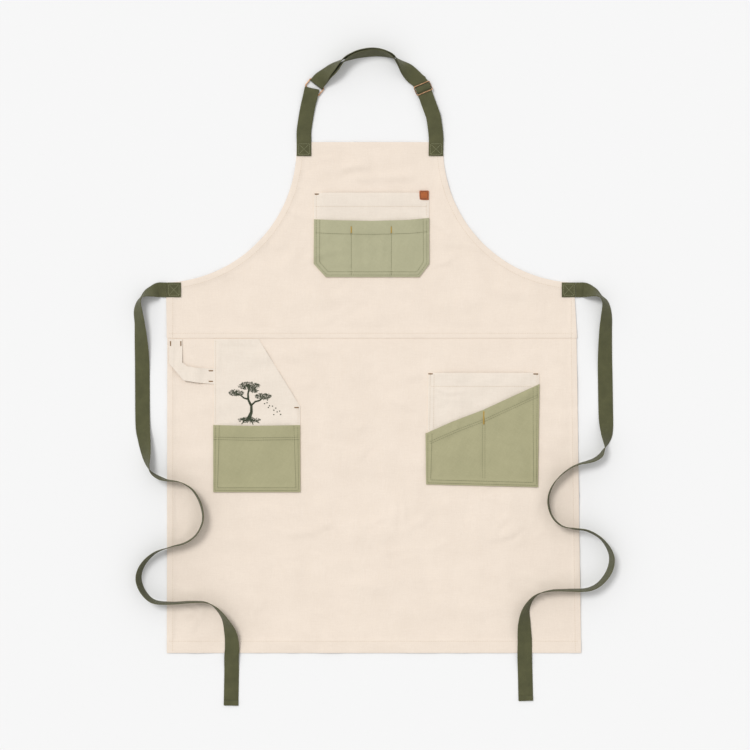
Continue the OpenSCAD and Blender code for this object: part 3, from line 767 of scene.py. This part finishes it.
HEM_INSETS = (1.6, 9, 10, 11, 13)
BODY_RIGHT = BIB_HIGH[0]
bib_lines = [row_across(WAIST_Y + d, BODY_LEFT, BODY_RIGHT) for d in (1.8, 7, WAIST_STITCH, 9, 11, 17)]
bib_lines += [row_across(BIB_TOP - d, BIB_LEFT, BIB_RIGHT) for d in (1.6, 17, 18, 19, 21)]
for d in HEM_INSETS:
    bib_lines += inner_arcs(d)
    bib_lines += [[(x, WAIST_Y + 2), (x, 108)] for x in (BODY_LEFT + d, BODY_RIGHT - d)]
bib = cloth("bib", bib_outline(), PANEL_STEP, bib_top,
            lambda x, y: hemmed_thickness(body_edge(x, y)), bib_lines)
dress(bib, CREAM, "canvas", "apron", "bib_panel")

skirt_outline = [(BODY_LEFT, HEM_Y), (SKIRT_HIGH[0], HEM_Y), (BODY_RIGHT - 1, WAIST_Y + LAP),
                 (BODY_LEFT + 1, WAIST_Y + LAP)]
skirt_lines = [row_across(HEM_Y + d, BODY_LEFT, 352) for d in (1.6, 19, HEM_STITCH, 21, 23)]
for d in HEM_INSETS:
    skirt_lines += [[(BODY_LEFT + d, HEM_Y + 2), (BODY_LEFT + d, WAIST_Y)],
                    [(SKIRT_HIGH[0] - d, HEM_Y + 2), (BODY_RIGHT - d, WAIST_Y)]]
skirt_lines += [row_across(WAIST_Y - d, BODY_LEFT, BODY_RIGHT) for d in (-1, 0.5, 2)]
skirt = cloth("skirt", skirt_outline, PANEL_STEP, skirt_top,
              lambda x, y: hemmed_thickness(np.minimum(body_edge(x, y), y - HEM_Y)), skirt_lines)
dress(skirt, CREAM, "canvas", "apron", "skirt_panel")

# ---------- pockets ----------


def gape(x, y, sewn, mouth, full, open_by):
    """Room between a pocket and the cloth under it: none at its sewn edges, most at its mouth."""
    d, m = nearest(x, y, sewn), nearest(x, y, [mouth])
    return full * smooth(1, 24, d) + open_by * smooth(2, 34, d) * groove(m, 30)


def pocket(name, outline, sewn, mouth, hem, under, seed, full=0.5, open_by=1.9, seams=(), turn=11.0,
           folds=()):
    """One layer of a patch pocket. Returns its upper surface as a function of x and y."""

    def top(x, y):
        d, m = nearest(x, y, sewn), nearest(x, y, [mouth])
        turned = 0.75 * (1 - smooth(turn - 0.8, turn + 0.8, d))
        hemmed = 0.6 * (1 - smooth(hem - 0.8, hem + 0.8, m))
        h = under(x, y) + 1.05 + np.maximum(turned, hemmed)
        h = h + gape(x, y, sewn, mouth, full, open_by)
        h = h - 0.4 * groove(d - 4.0) - 0.35 * groove(d - turn + 1.0) - 0.35 * groove(m - hem + 1.5)
        h = h - 0.4 * (1 - smooth(0, 1.5, np.minimum(d, m)))
        for line in seams:
            h = h - 0.75 * groove(nearest(x, y, [line]), 3.2)
        for line in folds:
            h = h + crease(x, y, line, 4.5, 0.8)
        pucker = bumps(x, y, seed + 5, 16, 7) * np.exp(-((d - 6) ** 2) / 60)
        return h + 0.4 * bumps(x, y, seed, 80, 26) * smooth(4, 30, d) + 0.16 * pucker

    def thick(x, y):
        d, m = nearest(x, y, sewn), nearest(x, y, [mouth])
        return 0.95 + 0.5 * (1 - smooth(hem - 0.8, hem + 0.8, m)) + 0.6 * (1 - smooth(0, 3, d))

    lines = []
    for line in list(sewn) + [mouth]:
        for d in (1.5, 4.0, turn - 1.0, turn):
            for side in (-1, 1):
                lines.append(offset_line(line, side * d))
    for side in (-1, 1):
        lines += [offset_line(mouth, side * (hem - 1.5)), offset_line(mouth, side * hem)]
    for line in seams:
        lines += [line, offset_line(line, 2.5), offset_line(line, -2.5)]
    return cloth(name, outline, POCKET_STEP, top, thick, lines), top


def offset_line(line, d):
    """The line moved sideways by d, to its left."""
    line = np.array(line, float)
    seg = np.diff(line, axis=0)
    n = np.stack([-seg[:, 1], seg[:, 0]], 1) / np.linalg.norm(seg, axis=1)[:, None]
    n = np.vstack([n[:1], (n[:-1] + n[1:]) / 2, n[-1:]])
    n = n / np.linalg.norm(n, axis=1)[:, None]
    return line + n * d


CHEST = [(-82, 124.5), (77, 124.5), (93.5, 147), (93.5, 268), (-102, 268), (-102, 147)]
CHEST_MOUTH = [(-102, 222.7), (-70, 221.2), (-5, 219.8), (60, 221.5), (93.8, 225)]
CHEST_FRONT = [(-82, 124.5), (77, 124.5), (94, 147)] + CHEST_MOUTH[::-1] + [(-102.5, 147)]
CHEST_SEWN = [[(-102, 268), (-102, 147), (-82, 124.5), (77, 124.5), (93.5, 147), (93.5, 268)]]
CHEST_DIVIDERS = [[(-38.5, 212), (-38.5, 125)], [(29.5, 212), (29.5, 125)]]
LEFT_BACK = [(-272, -239), (-125.5, -239), (-125.5, -95), (-195.8, 19.5), (-272, 19.5)]
LEFT_MOUTH = [(-195.8, 19.5), (-125.5, -95)]
LEFT_SEWN = [[(-195.8, 19.5), (-272, 19.5), (-272, -239), (-125.5, -239), (-125.5, -97)]]
LEFT_FRONT_MOUTH = [(-273, -126.6), (-210, -128), (-125.5, -126.8)]
LEFT_FRONT = [(-273, -240.5), (-125, -240.5)] + LEFT_FRONT_MOUTH[::-1]
LEFT_FRONT_SEWN = [[(-273, -126.6), (-273, -240.5), (-125, -240.5), (-125.5, -126.8)]]
RIGHT_BACK = [(90, -227), (278.5, -230), (280.5, -38), (92.5, -38)]
RIGHT_MOUTH = [(92.5, -38), (280.5, -38)]
RIGHT_SEWN = [[(92.5, -38), (90, -227), (278.5, -230), (280.5, -38)]]
RIGHT_FRONT_MOUTH = [(87.5, -141), (130, -122), (185, -101), (235, -78), (270, -62), (281, -57)]
RIGHT_FRONT = [(88.4, -227.5), (278.5, -232)] + RIGHT_FRONT_MOUTH[::-1]
RIGHT_FRONT_SEWN = [[(87.5, -141), (88.4, -227.5), (278.5, -232), (281, -57)]]
RIGHT_DIVIDER = [(186, -106), (185, -229)]

chest_back, chest_back_top = pocket(
    "chest_pocket_cream", CHEST, CHEST_SEWN, [(-102, 268), (93.5, 268)], 25, body_top, 21)
dress(chest_back, CREAM_POCKET, "canvas", "apron", "chest_pocket_back")
chest_front, chest_front_top = pocket(
    "chest_pocket_sage", CHEST_FRONT, CHEST_SEWN, CHEST_MOUTH, 24, chest_back_top, 22, seams=CHEST_DIVIDERS,
    folds=[[(-11, 214), (-12, 170), (-10, 134)], [(12, 196), (14, 165), (12, 140)],
           [(-60, 190), (-52, 150), (-44, 140)]])
dress(chest_front, SAGE_LIGHT, "pocket_canvas", "apron", "chest_pocket_front")
left_back, left_back_top = pocket(
    "left_pocket_cream", LEFT_BACK, LEFT_SEWN, LEFT_MOUTH, 12, body_top, 23, full=0.3, open_by=0.9)
dress(left_back, CREAM_POCKET, "canvas", "apron", "left_pocket_back")
left_front, left_front_top = pocket(
    "left_pocket_sage", LEFT_FRONT, LEFT_FRONT_SEWN, LEFT_FRONT_MOUTH, 22, left_back_top, 24)
dress(left_front, SAGE, "pocket_canvas", "apron", "left_pocket_front")
right_back, right_back_top = pocket(
    "right_pocket_cream", RIGHT_BACK, RIGHT_SEWN, RIGHT_MOUTH, 23, body_top, 25)
dress(right_back, CREAM_POCKET, "canvas", "apron", "right_pocket_back")
right_front, right_front_top = pocket(
    "right_pocket_sage", RIGHT_FRONT, RIGHT_FRONT_SEWN, RIGHT_FRONT_MOUTH, 17, right_back_top, 26,
    seams=[RIGHT_DIVIDER],
    folds=[[(140.6, -124), (138, -138)], [(163, -118), (155, -138)], [(224, -87), (220, -98)],
           [(251, -76), (240, -93)], [(265, -67), (254, -84)], [(110, -150), (150, -132)]])
dress(right_front, SAGE, "pocket_canvas", "apron", "right_pocket_front")

# ---------- towel loop ----------

LOOP = [(-348, 19), (-348, -22), (-322.5, -51), (-300, -54.5), (-281, -56.5), (-269, -57),
        (-268.5, -31), (-282, -30.5), (-300, -29.5), (-318, -26.5), (-325.6, -20.5), (-325.6, 19)]
LOOP_FOLD = [(-348, -22), (-322.5, -51)]


def loop_top(x, y):
    from_right = smooth(12, 30, np.hypot(x + 275, y + 43))
    far = smooth(8, 34, np.hypot(x + 337, y - 14)) * smooth(8, 34, np.hypot(x + 275, y + 43))
    low_edge = groove(nearest(x, y, [[(-336, -38), (-290, -57)]]), 15)
    fold = nearest(x, y, [LOOP_FOLD])
    crease = 0.5 * (1 - smooth(2, 10, fold)) - 0.5 * (1 - smooth(0, 2, fold))
    h = body_top(x, y) + 1.5 + 1.2 * far + 3.6 * low_edge * from_right
    return h + crease + 0.15 * bumps(x, y, 31, 30, 12)


towel = cloth("towel_strip", LOOP, STRIP_STEP, loop_top,
              lambda x, y: 1.1 + 0.9 * (1 - smooth(2, 9, nearest(x, y, [LOOP_FOLD]))))
dress(towel, CREAM_POCKET, "canvas", "apron", "towel_loop")

# ---------- stitches ----------


def threads(name, lines, material, slot, body, nodes=(), sides=6):
    """One piece of many short threads. Each line is two ends in millimetres and a radius."""
    a = np.array([l[0] for l in lines], float)
    b = np.array([l[1] for l in lines], float)
    r = np.array([l[2] for l in lines], float)[:, None]
    d = b - a
    length = np.linalg.norm(d, axis=1)[:, None]
    d = d / length
    up = np.tile([0.0, 0.0, 1.0], (len(a), 1))
    up[np.abs(d[:, 2]) > 0.8] = [1.0, 0.0, 0.0]
    w = np.cross(d, up)
    w = w / np.linalg.norm(w, axis=1)[:, None]
    u = np.cross(w, d)
    cap = np.minimum(0.3, length * 0.3)
    rings = []
    for at, size, lift in ((0 * length, 0.35, -0.5), (cap, 1, 0), (length - cap, 1, 0), (length, 0.35, -0.5)):
        centre = a + d * at + u * r * lift
        for k in range(sides):
            t = 2 * math.pi * k / sides
            rings.append(centre + r * size * (math.cos(t) * w + math.sin(t) * u))
    verts = np.stack(rings, 1)
    faces = []
    for i in range(len(a)):
        faces += [f[::-1] for f in swept_faces(4, sides, i * 4 * sides)]
    obj = make_mesh(name, verts.reshape(-1, 3), faces)
    return dress(obj, material, slot, body, *nodes)


def seam(line, top, stitch=2.9, gap=0.9, r=0.28, lift=0.06, seed=1, within=None):
    """Running stitches along a polyline on a surface, kept inside the outline within."""
    rng = np.random.default_rng(seed)
    line = np.array(line, float)
    seg = np.linalg.norm(np.diff(line, axis=0), axis=1)
    at = np.concatenate([[0], np.cumsum(seg)])
    starts = np.arange(0.6, at[-1] - stitch, stitch + gap)
    e = np.stack([starts, starts + stitch], 1).ravel()
    x = np.interp(e, at, line[:, 0]) + rng.normal(0, 0.05, len(e))
    y = np.interp(e, at, line[:, 1]) + rng.normal(0, 0.05, len(e))
    ends = np.column_stack([x, y, top(x, y) + lift])
    keep = np.ones(len(e), bool) if within is None else inside(ends[:, :2], np.array(within, float))
    both = [k for k in range(0, len(e), 2) if keep[k] and keep[k + 1]]
    return [(ends[k], ends[k + 1], r) for k in both]


def bartack(centre, turn, length, width, top, r=0.32):
    """A dense zigzag bar, length along direction turn in degrees."""
    c, s = math.cos(math.radians(turn)), math.sin(math.radians(turn))
    z = float(top(np.array([centre[0]]), np.array([centre[1]]))[0]) + 0.25
    half, side = length / 2, width / 2

    def place(x, y, up):
        return np.array([centre[0] + c * x - s * y, centre[1] + s * x + c * y, z + up])

    out = [(place(-half, y, -0.1), place(half, y, -0.1), r) for y in (-0.3 * width, 0.3 * width)]
    for i, x in enumerate(np.arange(-half, half + 0.01, 0.62)):
        lean = 0.3 if i % 2 else -0.3
        out.append((place(x - lean, -side, 0.15), place(x + lean, side, 0.15), r))
    return out


left_side_line = [(BODY_LEFT, HEM_Y + 3), (BODY_LEFT, 112)]
right_side_line = [(BIB_HIGH[0], 112), (BIB_HIGH[0], WAIST_Y), (SKIRT_HIGH[0], HEM_Y + 3)]
waist = seam([(BODY_LEFT + 3, WAIST_Y + WAIST_STITCH), (BIB_HIGH[0] - 3, WAIST_Y + WAIST_STITCH)], bib_top)
threads("waist_seam_stitches", waist, CREAM_THREAD, "cream_thread", "apron", ["waist_seam_thread"])
hems = seam([(BODY_LEFT + 3, HEM_Y + HEM_STITCH), (SKIRT_HIGH[0] - 3, HEM_Y + HEM_STITCH)], skirt_top)
hems += seam(offset_line(left_side_line, -10), body_top) + seam(offset_line(right_side_line, -10), body_top)
for curve in inner_arcs(10):
    hems += seam(curve, bib_top)
threads("hem_stitches", hems, CREAM_THREAD, "cream_thread", "apron", ["hem_thread"])

cream = seam(offset_line([(-100, 268), (92, 268)], -23.5), chest_back_top)
cream += seam([(-98, 266), (-98, 223)], chest_back_top) + seam([(89.5, 252), (89.5, 226)], chest_back_top)
cream += seam([(-269, 17), (-269, -125)], left_back_top) + seam([(-129, -98), (-129, -125)], left_back_top)
cream += seam([(96, -61), (268, -61)], right_back_top)
cream += seam([(95.5, -40), (94.5, -136)], right_back_top) + seam([(102, -40), (101, -133)], right_back_top)
cream += seam([(277, -40), (276.8, -58)], right_back_top)
threads("pocket_cream_stitches", cream, CREAM_THREAD, "cream_thread", "apron")

sage = []
CHEST_FRONT_SEWN = [(-102, 222), (-102, 147), (-82, 124.5), (77, 124.5), (93.5, 147), (93.5, 224)]
for line, distances, top, cut in (
    (CHEST_FRONT_SEWN, (4, 10), chest_front_top, CHEST_FRONT),
    (LEFT_FRONT_SEWN[0], (4, 10.5), left_front_top, LEFT_FRONT),
    (RIGHT_FRONT_SEWN[0], (4, 11), right_front_top, RIGHT_FRONT),
    (CHEST_MOUTH, (-23,), chest_front_top, CHEST_FRONT),
    (LEFT_FRONT_MOUTH, (-20.5, -24.5), left_front_top, LEFT_FRONT),
    (RIGHT_FRONT_MOUTH, (-15.5, -19), right_front_top, RIGHT_FRONT),
):
    for d in distances:
        sage += seam(offset_line(line, d), top, r=0.38, within=cut)
for line in CHEST_DIVIDERS:
    sage += seam(line, chest_front_top, r=0.38)
for x in (184.2, 188.4):
    sage += seam([(x, -126), (x, -217)], right_front_top)
threads("pocket_sage_stitches", sage, GREEN_THREAD, "green_thread", "apron")

gold = []
for x in (-38.5, 29.5):
    gold += bartack((x, 205), 90, 11, 2.4, chest_front_top)
gold += bartack((186.3, -114), 90, 22, 2.6, right_front_top)
threads("gold_bars", gold, GOLD_THREAD, "gold_thread", "apron", ["gold_bartacks"])
brown = bartack((-97, 265.5), 0, 7, 2.2, chest_back_top)
brown += bartack((-131.5, -97), 0, 7, 2.0, left_back_top)
brown += bartack((96.5, -39.8), 0, 8, 2.2, right_back_top) + bartack((275, -40), 0, 8, 2.2, right_back_top)
for y in (-34.5, -52.5):
    brown += bartack((-277, y), 0, 7, 2.0, loop_top)
for x in (-345.5, -328):
    brown += bartack((x, 12), 90, 8, 2.0, loop_top)
threads("brown_bars", brown, BROWN_THREAD, "brown_thread", "apron", ["brown_bartacks"])

# ---------- leather patch ----------

PATCH_LOW, PATCH_HIGH = mm_box("leather_patch")
PATCH_C = (PATCH_LOW + PATCH_HIGH)[:2] / 2
PATCH_HALF = (PATCH_HIGH[0] - PATCH_LOW[0]) / 2
patch_outline = np.vstack([arc(PATCH_C + np.array([sx, sy]) * (PATCH_HALF - 1.2), 1.2, a, a + 90, 5)
                           for sx, sy, a in ((1, -1, -90), (1, 1, 0), (-1, 1, 90), (-1, -1, 180))])


def patch_top(x, y):
    d = PATCH_HALF - np.maximum(np.abs(x - PATCH_C[0]), np.abs(y - PATCH_C[1]))
    flat = chest_back_top(PATCH_C[0] + 0 * x, PATCH_C[1] + 0 * y)
    edge = 0.6 * (1 - smooth(0, 1.2, d))
    return flat + 1.75 - edge - 0.25 * groove(d - 2.0, 0.6) + 0.15 * smooth(2.5, 7, d)


patch = cloth("patch", patch_outline, 0.9, patch_top, 1.6)
dress(patch, LEATHER, "leather", "apron", "leather_patch")
border = []
a = PATCH_HALF - 2.0
corners = [PATCH_C + np.array(k) * a for k in ((-1, -1), (1, -1), (1, 1), (-1, 1), (-1, -1))]
for p, q in zip(corners[:-1], corners[1:]):
    border += seam([p, q], patch_top, 1.7, 0.5, 0.45, 0.15)
threads("patch_border_stitches", border, PATCH_THREAD, "brown_thread", "apron", ["patch_stitches"])

# ---------- embroidered tree ----------

TREE = np.array([-212.0, -118.0])
PADS = [(0, 58, 17, 6), (-22, 46, 12, 5), (24, 40, 13, 5), (7, 50, 8, 3.2)]


def leaf_pad(cx, cy, rx, ry, rng):
    """Short strokes at all angles, thick in the middle of an oval and loose at its edge."""
    out = []
    for _ in range(int(3.4 * rx * ry)):
        r, a = rng.uniform(0, 1) ** 0.6, rng.uniform(0, 2 * math.pi)
        x, y = cx + 1.08 * rx * r * math.cos(a), cy + 1.1 * ry * r * math.sin(a)
        turn, half = rng.normal(0, 0.7), rng.uniform(0.7, 1.7)
        dx, dy = half * math.cos(turn), half * math.sin(turn)
        out.append(((x - dx, y - dy), (x + dx, y + dy)))
    return out


def limb(points, widths, rng, pitch=0.6):
    """Threads along a limb, side by side across its width."""
    points = np.array(points, float)
    out = []
    for p, q, w0, w1 in zip(points[:-1], points[1:], widths[:-1], widths[1:]):
        d = (q - p) / np.linalg.norm(q - p)
        n = np.array([-d[1], d[0]])
        for k in np.arange(-0.5, 0.51, pitch / max(w0, w1)):
            a = p + n * k * w0 - d * rng.uniform(0, 0.5)
            b = q + n * k * w1 + d * rng.uniform(0, 0.5)
            out.append((tuple(a), tuple(b)))
    return out


rng = np.random.default_rng(7)
strokes = []
for pad in PADS:
    strokes += leaf_pad(*pad, rng)
strokes += leaf_pad(0, 0, 18, 4.6, rng)
strokes += limb([(-1, 2), (3.5, 13), (3.5, 24), (-1.5, 34), (-2, 44), (0, 56)],
                [7, 4.6, 3.6, 3.0, 2.4, 1.7], rng)
strokes += limb([(3.4, 25), (10, 31), (18, 33), (24, 39)], [2.9, 2.4, 1.9, 1.3], rng)
strokes += limb([(-1.5, 35), (-9, 37), (-15, 42), (-22, 45)], [2.7, 2.2, 1.8, 1.2], rng)
for x0, x1, y1 in ((-2, -13, -7), (1, 7, -8), (3, 17, -5)):
    strokes += limb([(x0, 2), ((x0 + x1) / 2, -1.5), (x1, y1)], [2.2, 1.4, 0.8], rng)
for k in range(13):
    cx, cy = 27 + 2.3 * k + rng.uniform(-2, 2), 30 - 2.0 * k + rng.uniform(-7, 7)
    strokes += [((cx - 1.0, cy + dy), (cx + 1.0, cy + dy)) for dy in (-0.6, 0, 0.6)]
ends = np.array(strokes).reshape(-1, 2) + TREE
z = left_back_top(ends[:, 0], ends[:, 1]) + 0.15 + np.repeat(rng.uniform(0, 0.12, len(strokes)), 2)
ends = np.column_stack([ends, z])
lines = [(ends[2 * k], ends[2 * k + 1], 0.34) for k in range(len(strokes))]
threads("tree", lines, FOREST_THREAD, "embroidery", "apron", ["tree_embroidery"], 5)

# ---------- webbing sewn to the apron ----------


def straight_web(name, start, end, node):
    """A flat piece of webbing sewn to the bib from x = start to x = end."""
    rows = [(start + (end - start) * t, TIE_Y, 0, SEWN_Z) for t in (0, 0.3, 0.7, 1)]
    dress(webbing_mesh(name, *web_frames(rows, 4)), OLIVE, "webbing", "apron", node)


straight_web("left_tie_end_on_bib", LEFT_TIE_HIGH[0], LEFT_TIE_LOW[0] + 0.4, "left_tie_sewn_end")
straight_web("right_tie_end_on_bib", RIGHT_TIE_LOW[0], RIGHT_TIE_HIGH[0] - 0.4, "right_tie_sewn_end")


def box_lines(cx, cy, wx, wy):
    """A stitched box with a cross in it, on the face of a sewn-down end."""

    def flat(x, y):
        return SEWN_Z + WEB_T + 0 * x

    a, b, c, d = [(cx + wx * sx, cy + wy * sy) for sx, sy in ((-1, -1), (1, -1), (1, 1), (-1, 1))]
    out = []
    for p, q in ((a, b), (b, c), (c, d), (d, a), (a, c), (b, d)):
        out += seam([p, q], flat, 2.4, 0.5, 0.42, 0.1)
    return out


# ---------- neck straps, ring and slider ----------

RING_TURN = math.radians(-38)
RING_Y = np.array([-math.sin(RING_TURN), math.cos(RING_TURN)])
RING_X = np.array([math.cos(RING_TURN), math.sin(RING_TURN), 0])
RING_SPAN = 16.2
RING_WIRE = 2.2
NEAR_BAR = np.array([-106.0, 441.0])
FAR_BAR = NEAR_BAR + RING_SPAN * RING_Y
NEAR_R = 1.5
RING_Z = 2.9
FAR_LOW = 0.2
FAR_R = 2.857
FAR_TOP = FAR_LOW + 1.2 + 2 * FAR_R
SLIDER = np.array([83.5, 445.0])
SLIDER_TURN = math.radians(20)
STRAP_DIR = np.array([-math.sin(SLIDER_TURN), math.cos(SLIDER_TURN)])
THROUGH_Z = 4.8
BAR_LOW_Z = 2.4
BAR_HIGH_Z = 7.2
FOLD_Y = 357.0
OUTER_OVER = [
    (74.6, 458.3, 0, 4.4), (67.2, 466.1, 6, 3.2), (57.6, 476, 25, 2.2), (50, 483.5, 50, 1.8),
    (43.9, 489.4, 69, 1.6), (34, 498.5, 90, 1.5), (20.4, 504.5, 98, 1.5), (6.8, 507.5, 102, 1.5),
    (-6.8, 507.8, 104, 1.5), (-23.8, 504.8, 104, 1.5), (-37.4, 500.2, 100, 1.5), (-49.3, 495.4, 90, 1.8),
    (-60.4, 488, 73, 2.2), (-69.7, 480.8, 56, 3), (-82.5, 469, 36, 4.2),
]
INNER_OVER = [
    (75.5, 458.5, 0, 0.4), (66.2, 465, 6, 0.9), (56, 474.6, 25, 0.8), (48.2, 482, 50, 0.8),
    (42, 487.6, 68, 0.8), (32, 496.3, 88, 0.9), (17, 502.3, 104, 1), (1.7, 504.2, 110, 1),
    (-15.3, 502.6, 109, 1), (-32.3, 498.6, 103, 1), (-47, 492, 90, 1), (-57.4, 484.8, 72, 1.2),
    (-66.4, 477.2, 54, 1.4), (-81, 467, 34, 1.2),
]


def on_strap(s):
    return tuple(SLIDER + s * STRAP_DIR)


def at_bar(p, s, z):
    return (p[0] + s * RING_Y[0], p[1] + s * RING_Y[1], 0, z)


def round_bar(p, z, r, a0, a1, side, turn=RING_TURN):
    """Frames round a bar that lies at angle turn, from angle a0 to a1 about it."""
    c, w, u = [], [], []
    for a in np.radians(np.linspace(a0, a1, 14)[1:-1]):
        n = np.array([-math.sin(turn) * math.cos(a), math.cos(turn) * math.cos(a), math.sin(a)])
        c.append(np.array([p[0], p[1], z]) + (r + WEB_T / 2) * n)
        w.append(side * np.array([math.cos(turn), math.sin(turn), 0]))
        u.append(n)
    return np.array(c), np.array(w), np.array(u)


def turned(frames):
    c, w, u = frames
    return c[::-1], w[::-1], -u[::-1]


FOLD_TURN = math.radians(-12)
FOLD_C = np.array([-105.8, 443.0])


def at_fold(k, z):
    return (FOLD_C[0] - k * math.sin(FOLD_TURN), FOLD_C[1] + k * math.cos(FOLD_TURN), 0, z)


short_rows = [(-119, BIB_TOP - 23.6, 0, SEWN_Z), (-119, BIB_TOP - 8, 0, SEWN_Z), (-119, FOLD_Y, 0, SEWN_Z),
              (-119, 372, 0, 1.8), (-116, 394, 0, 1.7), (-112, 416, 0, 2.2), at_fold(-14, 3.4),
              at_fold(-4, RING_Z + NEAR_R), at_fold(0, RING_Z + NEAR_R)]
short_tail = [at_fold(-18, 0.2), at_fold(-9, 0.2), at_fold(0, 0.2)]
short = webbing_mesh("left_neck_strap", *join_frames(
    web_frames(short_rows), round_bar(FOLD_C, RING_Z, NEAR_R, 90, -90, 1, FOLD_TURN),
    turned(web_frames(short_tail, 4))))
dress(short, OLIVE, "webbing", None, "short_neck_strap", "left_strap_sewn_end")
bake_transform(short)

through_rows = [(105.2, BIB_TOP - 23.6, 0, SEWN_Z), (105.4, BIB_TOP - 8, 0, SEWN_Z),
                (105.6, FOLD_Y, 0, SEWN_Z), (105, 368, 0, 2.7), (103, 384, 0, 3.6)]
through_rows += [(*on_strap(s), 0, THROUGH_Z) for s in (-50, -44, -24, -8, 0, 6)]
through_rows += OUTER_OVER
through_rows += [at_bar(FAR_BAR, 6, FAR_TOP), at_bar(FAR_BAR, 0, FAR_TOP)]
through = webbing_mesh("main_strap_outer", *join_frames(
    web_frames(through_rows), round_bar(FAR_BAR, FAR_LOW + 1.2 + FAR_R, FAR_R, 90, 270, -1)))
dress(through, OLIVE, "webbing", None, "main_neck_strap", "right_strap_sewn_end")
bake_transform(through)

return_rows = [(*on_strap(10.5), 0, 0.2)] + INNER_OVER
return_rows += [at_bar(FAR_BAR, 6, FAR_LOW), at_bar(FAR_BAR, 0, FAR_LOW)]
back = webbing_mesh("main_strap_inner", *web_frames(return_rows))
dress(back, OLIVE, "webbing", None)
low, high = on_strap(11), on_strap(60)
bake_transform(back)

box = box_lines(-119, BIB_TOP - 12, 9.5, 9) + box_lines(105.3, BIB_TOP - 12, 9.5, 9)
for low, high in ((LEFT_TIE_LOW, LEFT_TIE_HIGH), (RIGHT_TIE_LOW, RIGHT_TIE_HIGH)):
    box += box_lines((low[0] + high[0]) / 2, TIE_Y, 9, 9.5)
threads("strap_stitches", box, OLIVE_THREAD, "green_thread", "apron", ["strap_box_stitches"])


def tube(name, path, r, closed=False, sides=14):
    """A round wire along a path in millimetres."""
    path = np.array(path, float)
    if closed:
        d = np.roll(path, -1, 0) - np.roll(path, 1, 0)
    else:
        d = np.gradient(path, axis=0)
    d = d / np.linalg.norm(d, axis=1)[:, None]
    w = np.cross(d, [0.0, 0.0, 1.0])
    w = w / np.linalg.norm(w, axis=1)[:, None]
    u = np.cross(w, d)
    t = (2 * np.pi * np.arange(sides) / sides)[None, :, None]
    verts = path[:, None] + r * (np.cos(t) * w[:, None] + np.sin(t) * u[:, None])
    faces = [f[::-1] for f in swept_faces(len(path), sides, closed=closed)]
    return make_mesh(name, verts.reshape(-1, 3), faces)


def rounded_loop(half_x, y0, y1, r, per=8):
    """Corner points of a rounded rectangle, counter-clockwise."""
    x, low, high = half_x - r, y0 + r, y1 - r
    corners = [(x, high, 0), (-x, high, 90), (-x, low, 180), (x, low, 270)]
    pts = np.vstack([arc((cx, cy), r, a, a + 90, per) for cx, cy, a in corners])
    return resample(pts, 1.2, closed=True)


ring_path = rounded_loop((26 + RING_WIRE) / 2, 0, RING_SPAN, 2.4)
ring_xyz = np.column_stack([
    NEAR_BAR[0] + ring_path[:, 0] * RING_X[0] + ring_path[:, 1] * RING_Y[0],
    NEAR_BAR[1] + ring_path[:, 0] * RING_X[1] + ring_path[:, 1] * RING_Y[1],
    np.full(len(ring_path), RING_Z),
])
ring = tube("neck_ring", ring_xyz, RING_WIRE / 2, closed=True)
dress(ring, BRASS, "hardware", "ring", "strap_ring")


LEAN = math.radians(23)
LEAN_X, LEAN_Y = np.array([math.cos(LEAN), math.sin(LEAN)]), np.array([-math.sin(LEAN), math.cos(LEAN)])


def slider_place(x, s, z):
    return np.array([*(SLIDER + x * LEAN_X + s * LEAN_Y), z])


rim = rounded_loop(14.0, -7.6, 7.6, 1.8)
RIM_RISE = BAR_HIGH_Z - BAR_LOW_Z - 0.3
rim_xyz = [slider_place(x, s, BAR_LOW_Z + 0.3 + RIM_RISE * float(smooth(0.5, 6.5, abs(s)))) for x, s in rim]
slider = tube("slider_rim", rim_xyz, 0.9, closed=True)
dress(slider, BRASS, "hardware", "slider", "slider_frame")
bar = tube("slider_bar", [slider_place(x, 0, BAR_LOW_Z) for x in np.linspace(-14, 14, 9)], 0.9)
dress(bar, BRASS, "hardware", "slider")

lean_across = np.array([*LEAN_X, 0])
WRAP_R = 1.0 + WEB_T / 2
end_c, end_u = [], []
for s, a in ([(9.6 - 1.6 * k, 90) for k in range(6)] + [(0, a) for a in np.linspace(90, 270, 12)[1:-1]]
             + [(1.6 * k + 1.6, 270) for k in range(6)]):
    a = math.radians(a)
    n = np.array([*(math.cos(a) * LEAN_Y), math.sin(a)])
    end_c.append(slider_place(0, s, BAR_LOW_Z) + WRAP_R * n)
    end_u.append(n)
end_w = np.tile(-lean_across, (len(end_c), 1))
loop_end = webbing_mesh("slider_strap_end", np.array(end_c), end_w, np.array(end_u))
dress(loop_end, OLIVE, "webbing", "slider", "slider_loop_end")

hump_c, hump_u = [], []
for a in np.radians(np.linspace(-90, 90, 17)):
    hump_c.append(slider_place(0, 5.2 * math.sin(a), 4.2 + 4.6 * math.cos(a)))
    n = np.array([*(4.6 * math.sin(a) * LEAN_Y), 5.2 * math.cos(a) + 0.2])
    hump_u.append(n / np.linalg.norm(n))
hump_w = np.tile(lean_across, (len(hump_c), 1))
hump = webbing_mesh("slider_strap_hump", np.array(hump_c), hump_w, np.array(hump_u), WEB_W + 0.6)
dress(hump, OLIVE, "webbing", "slider")
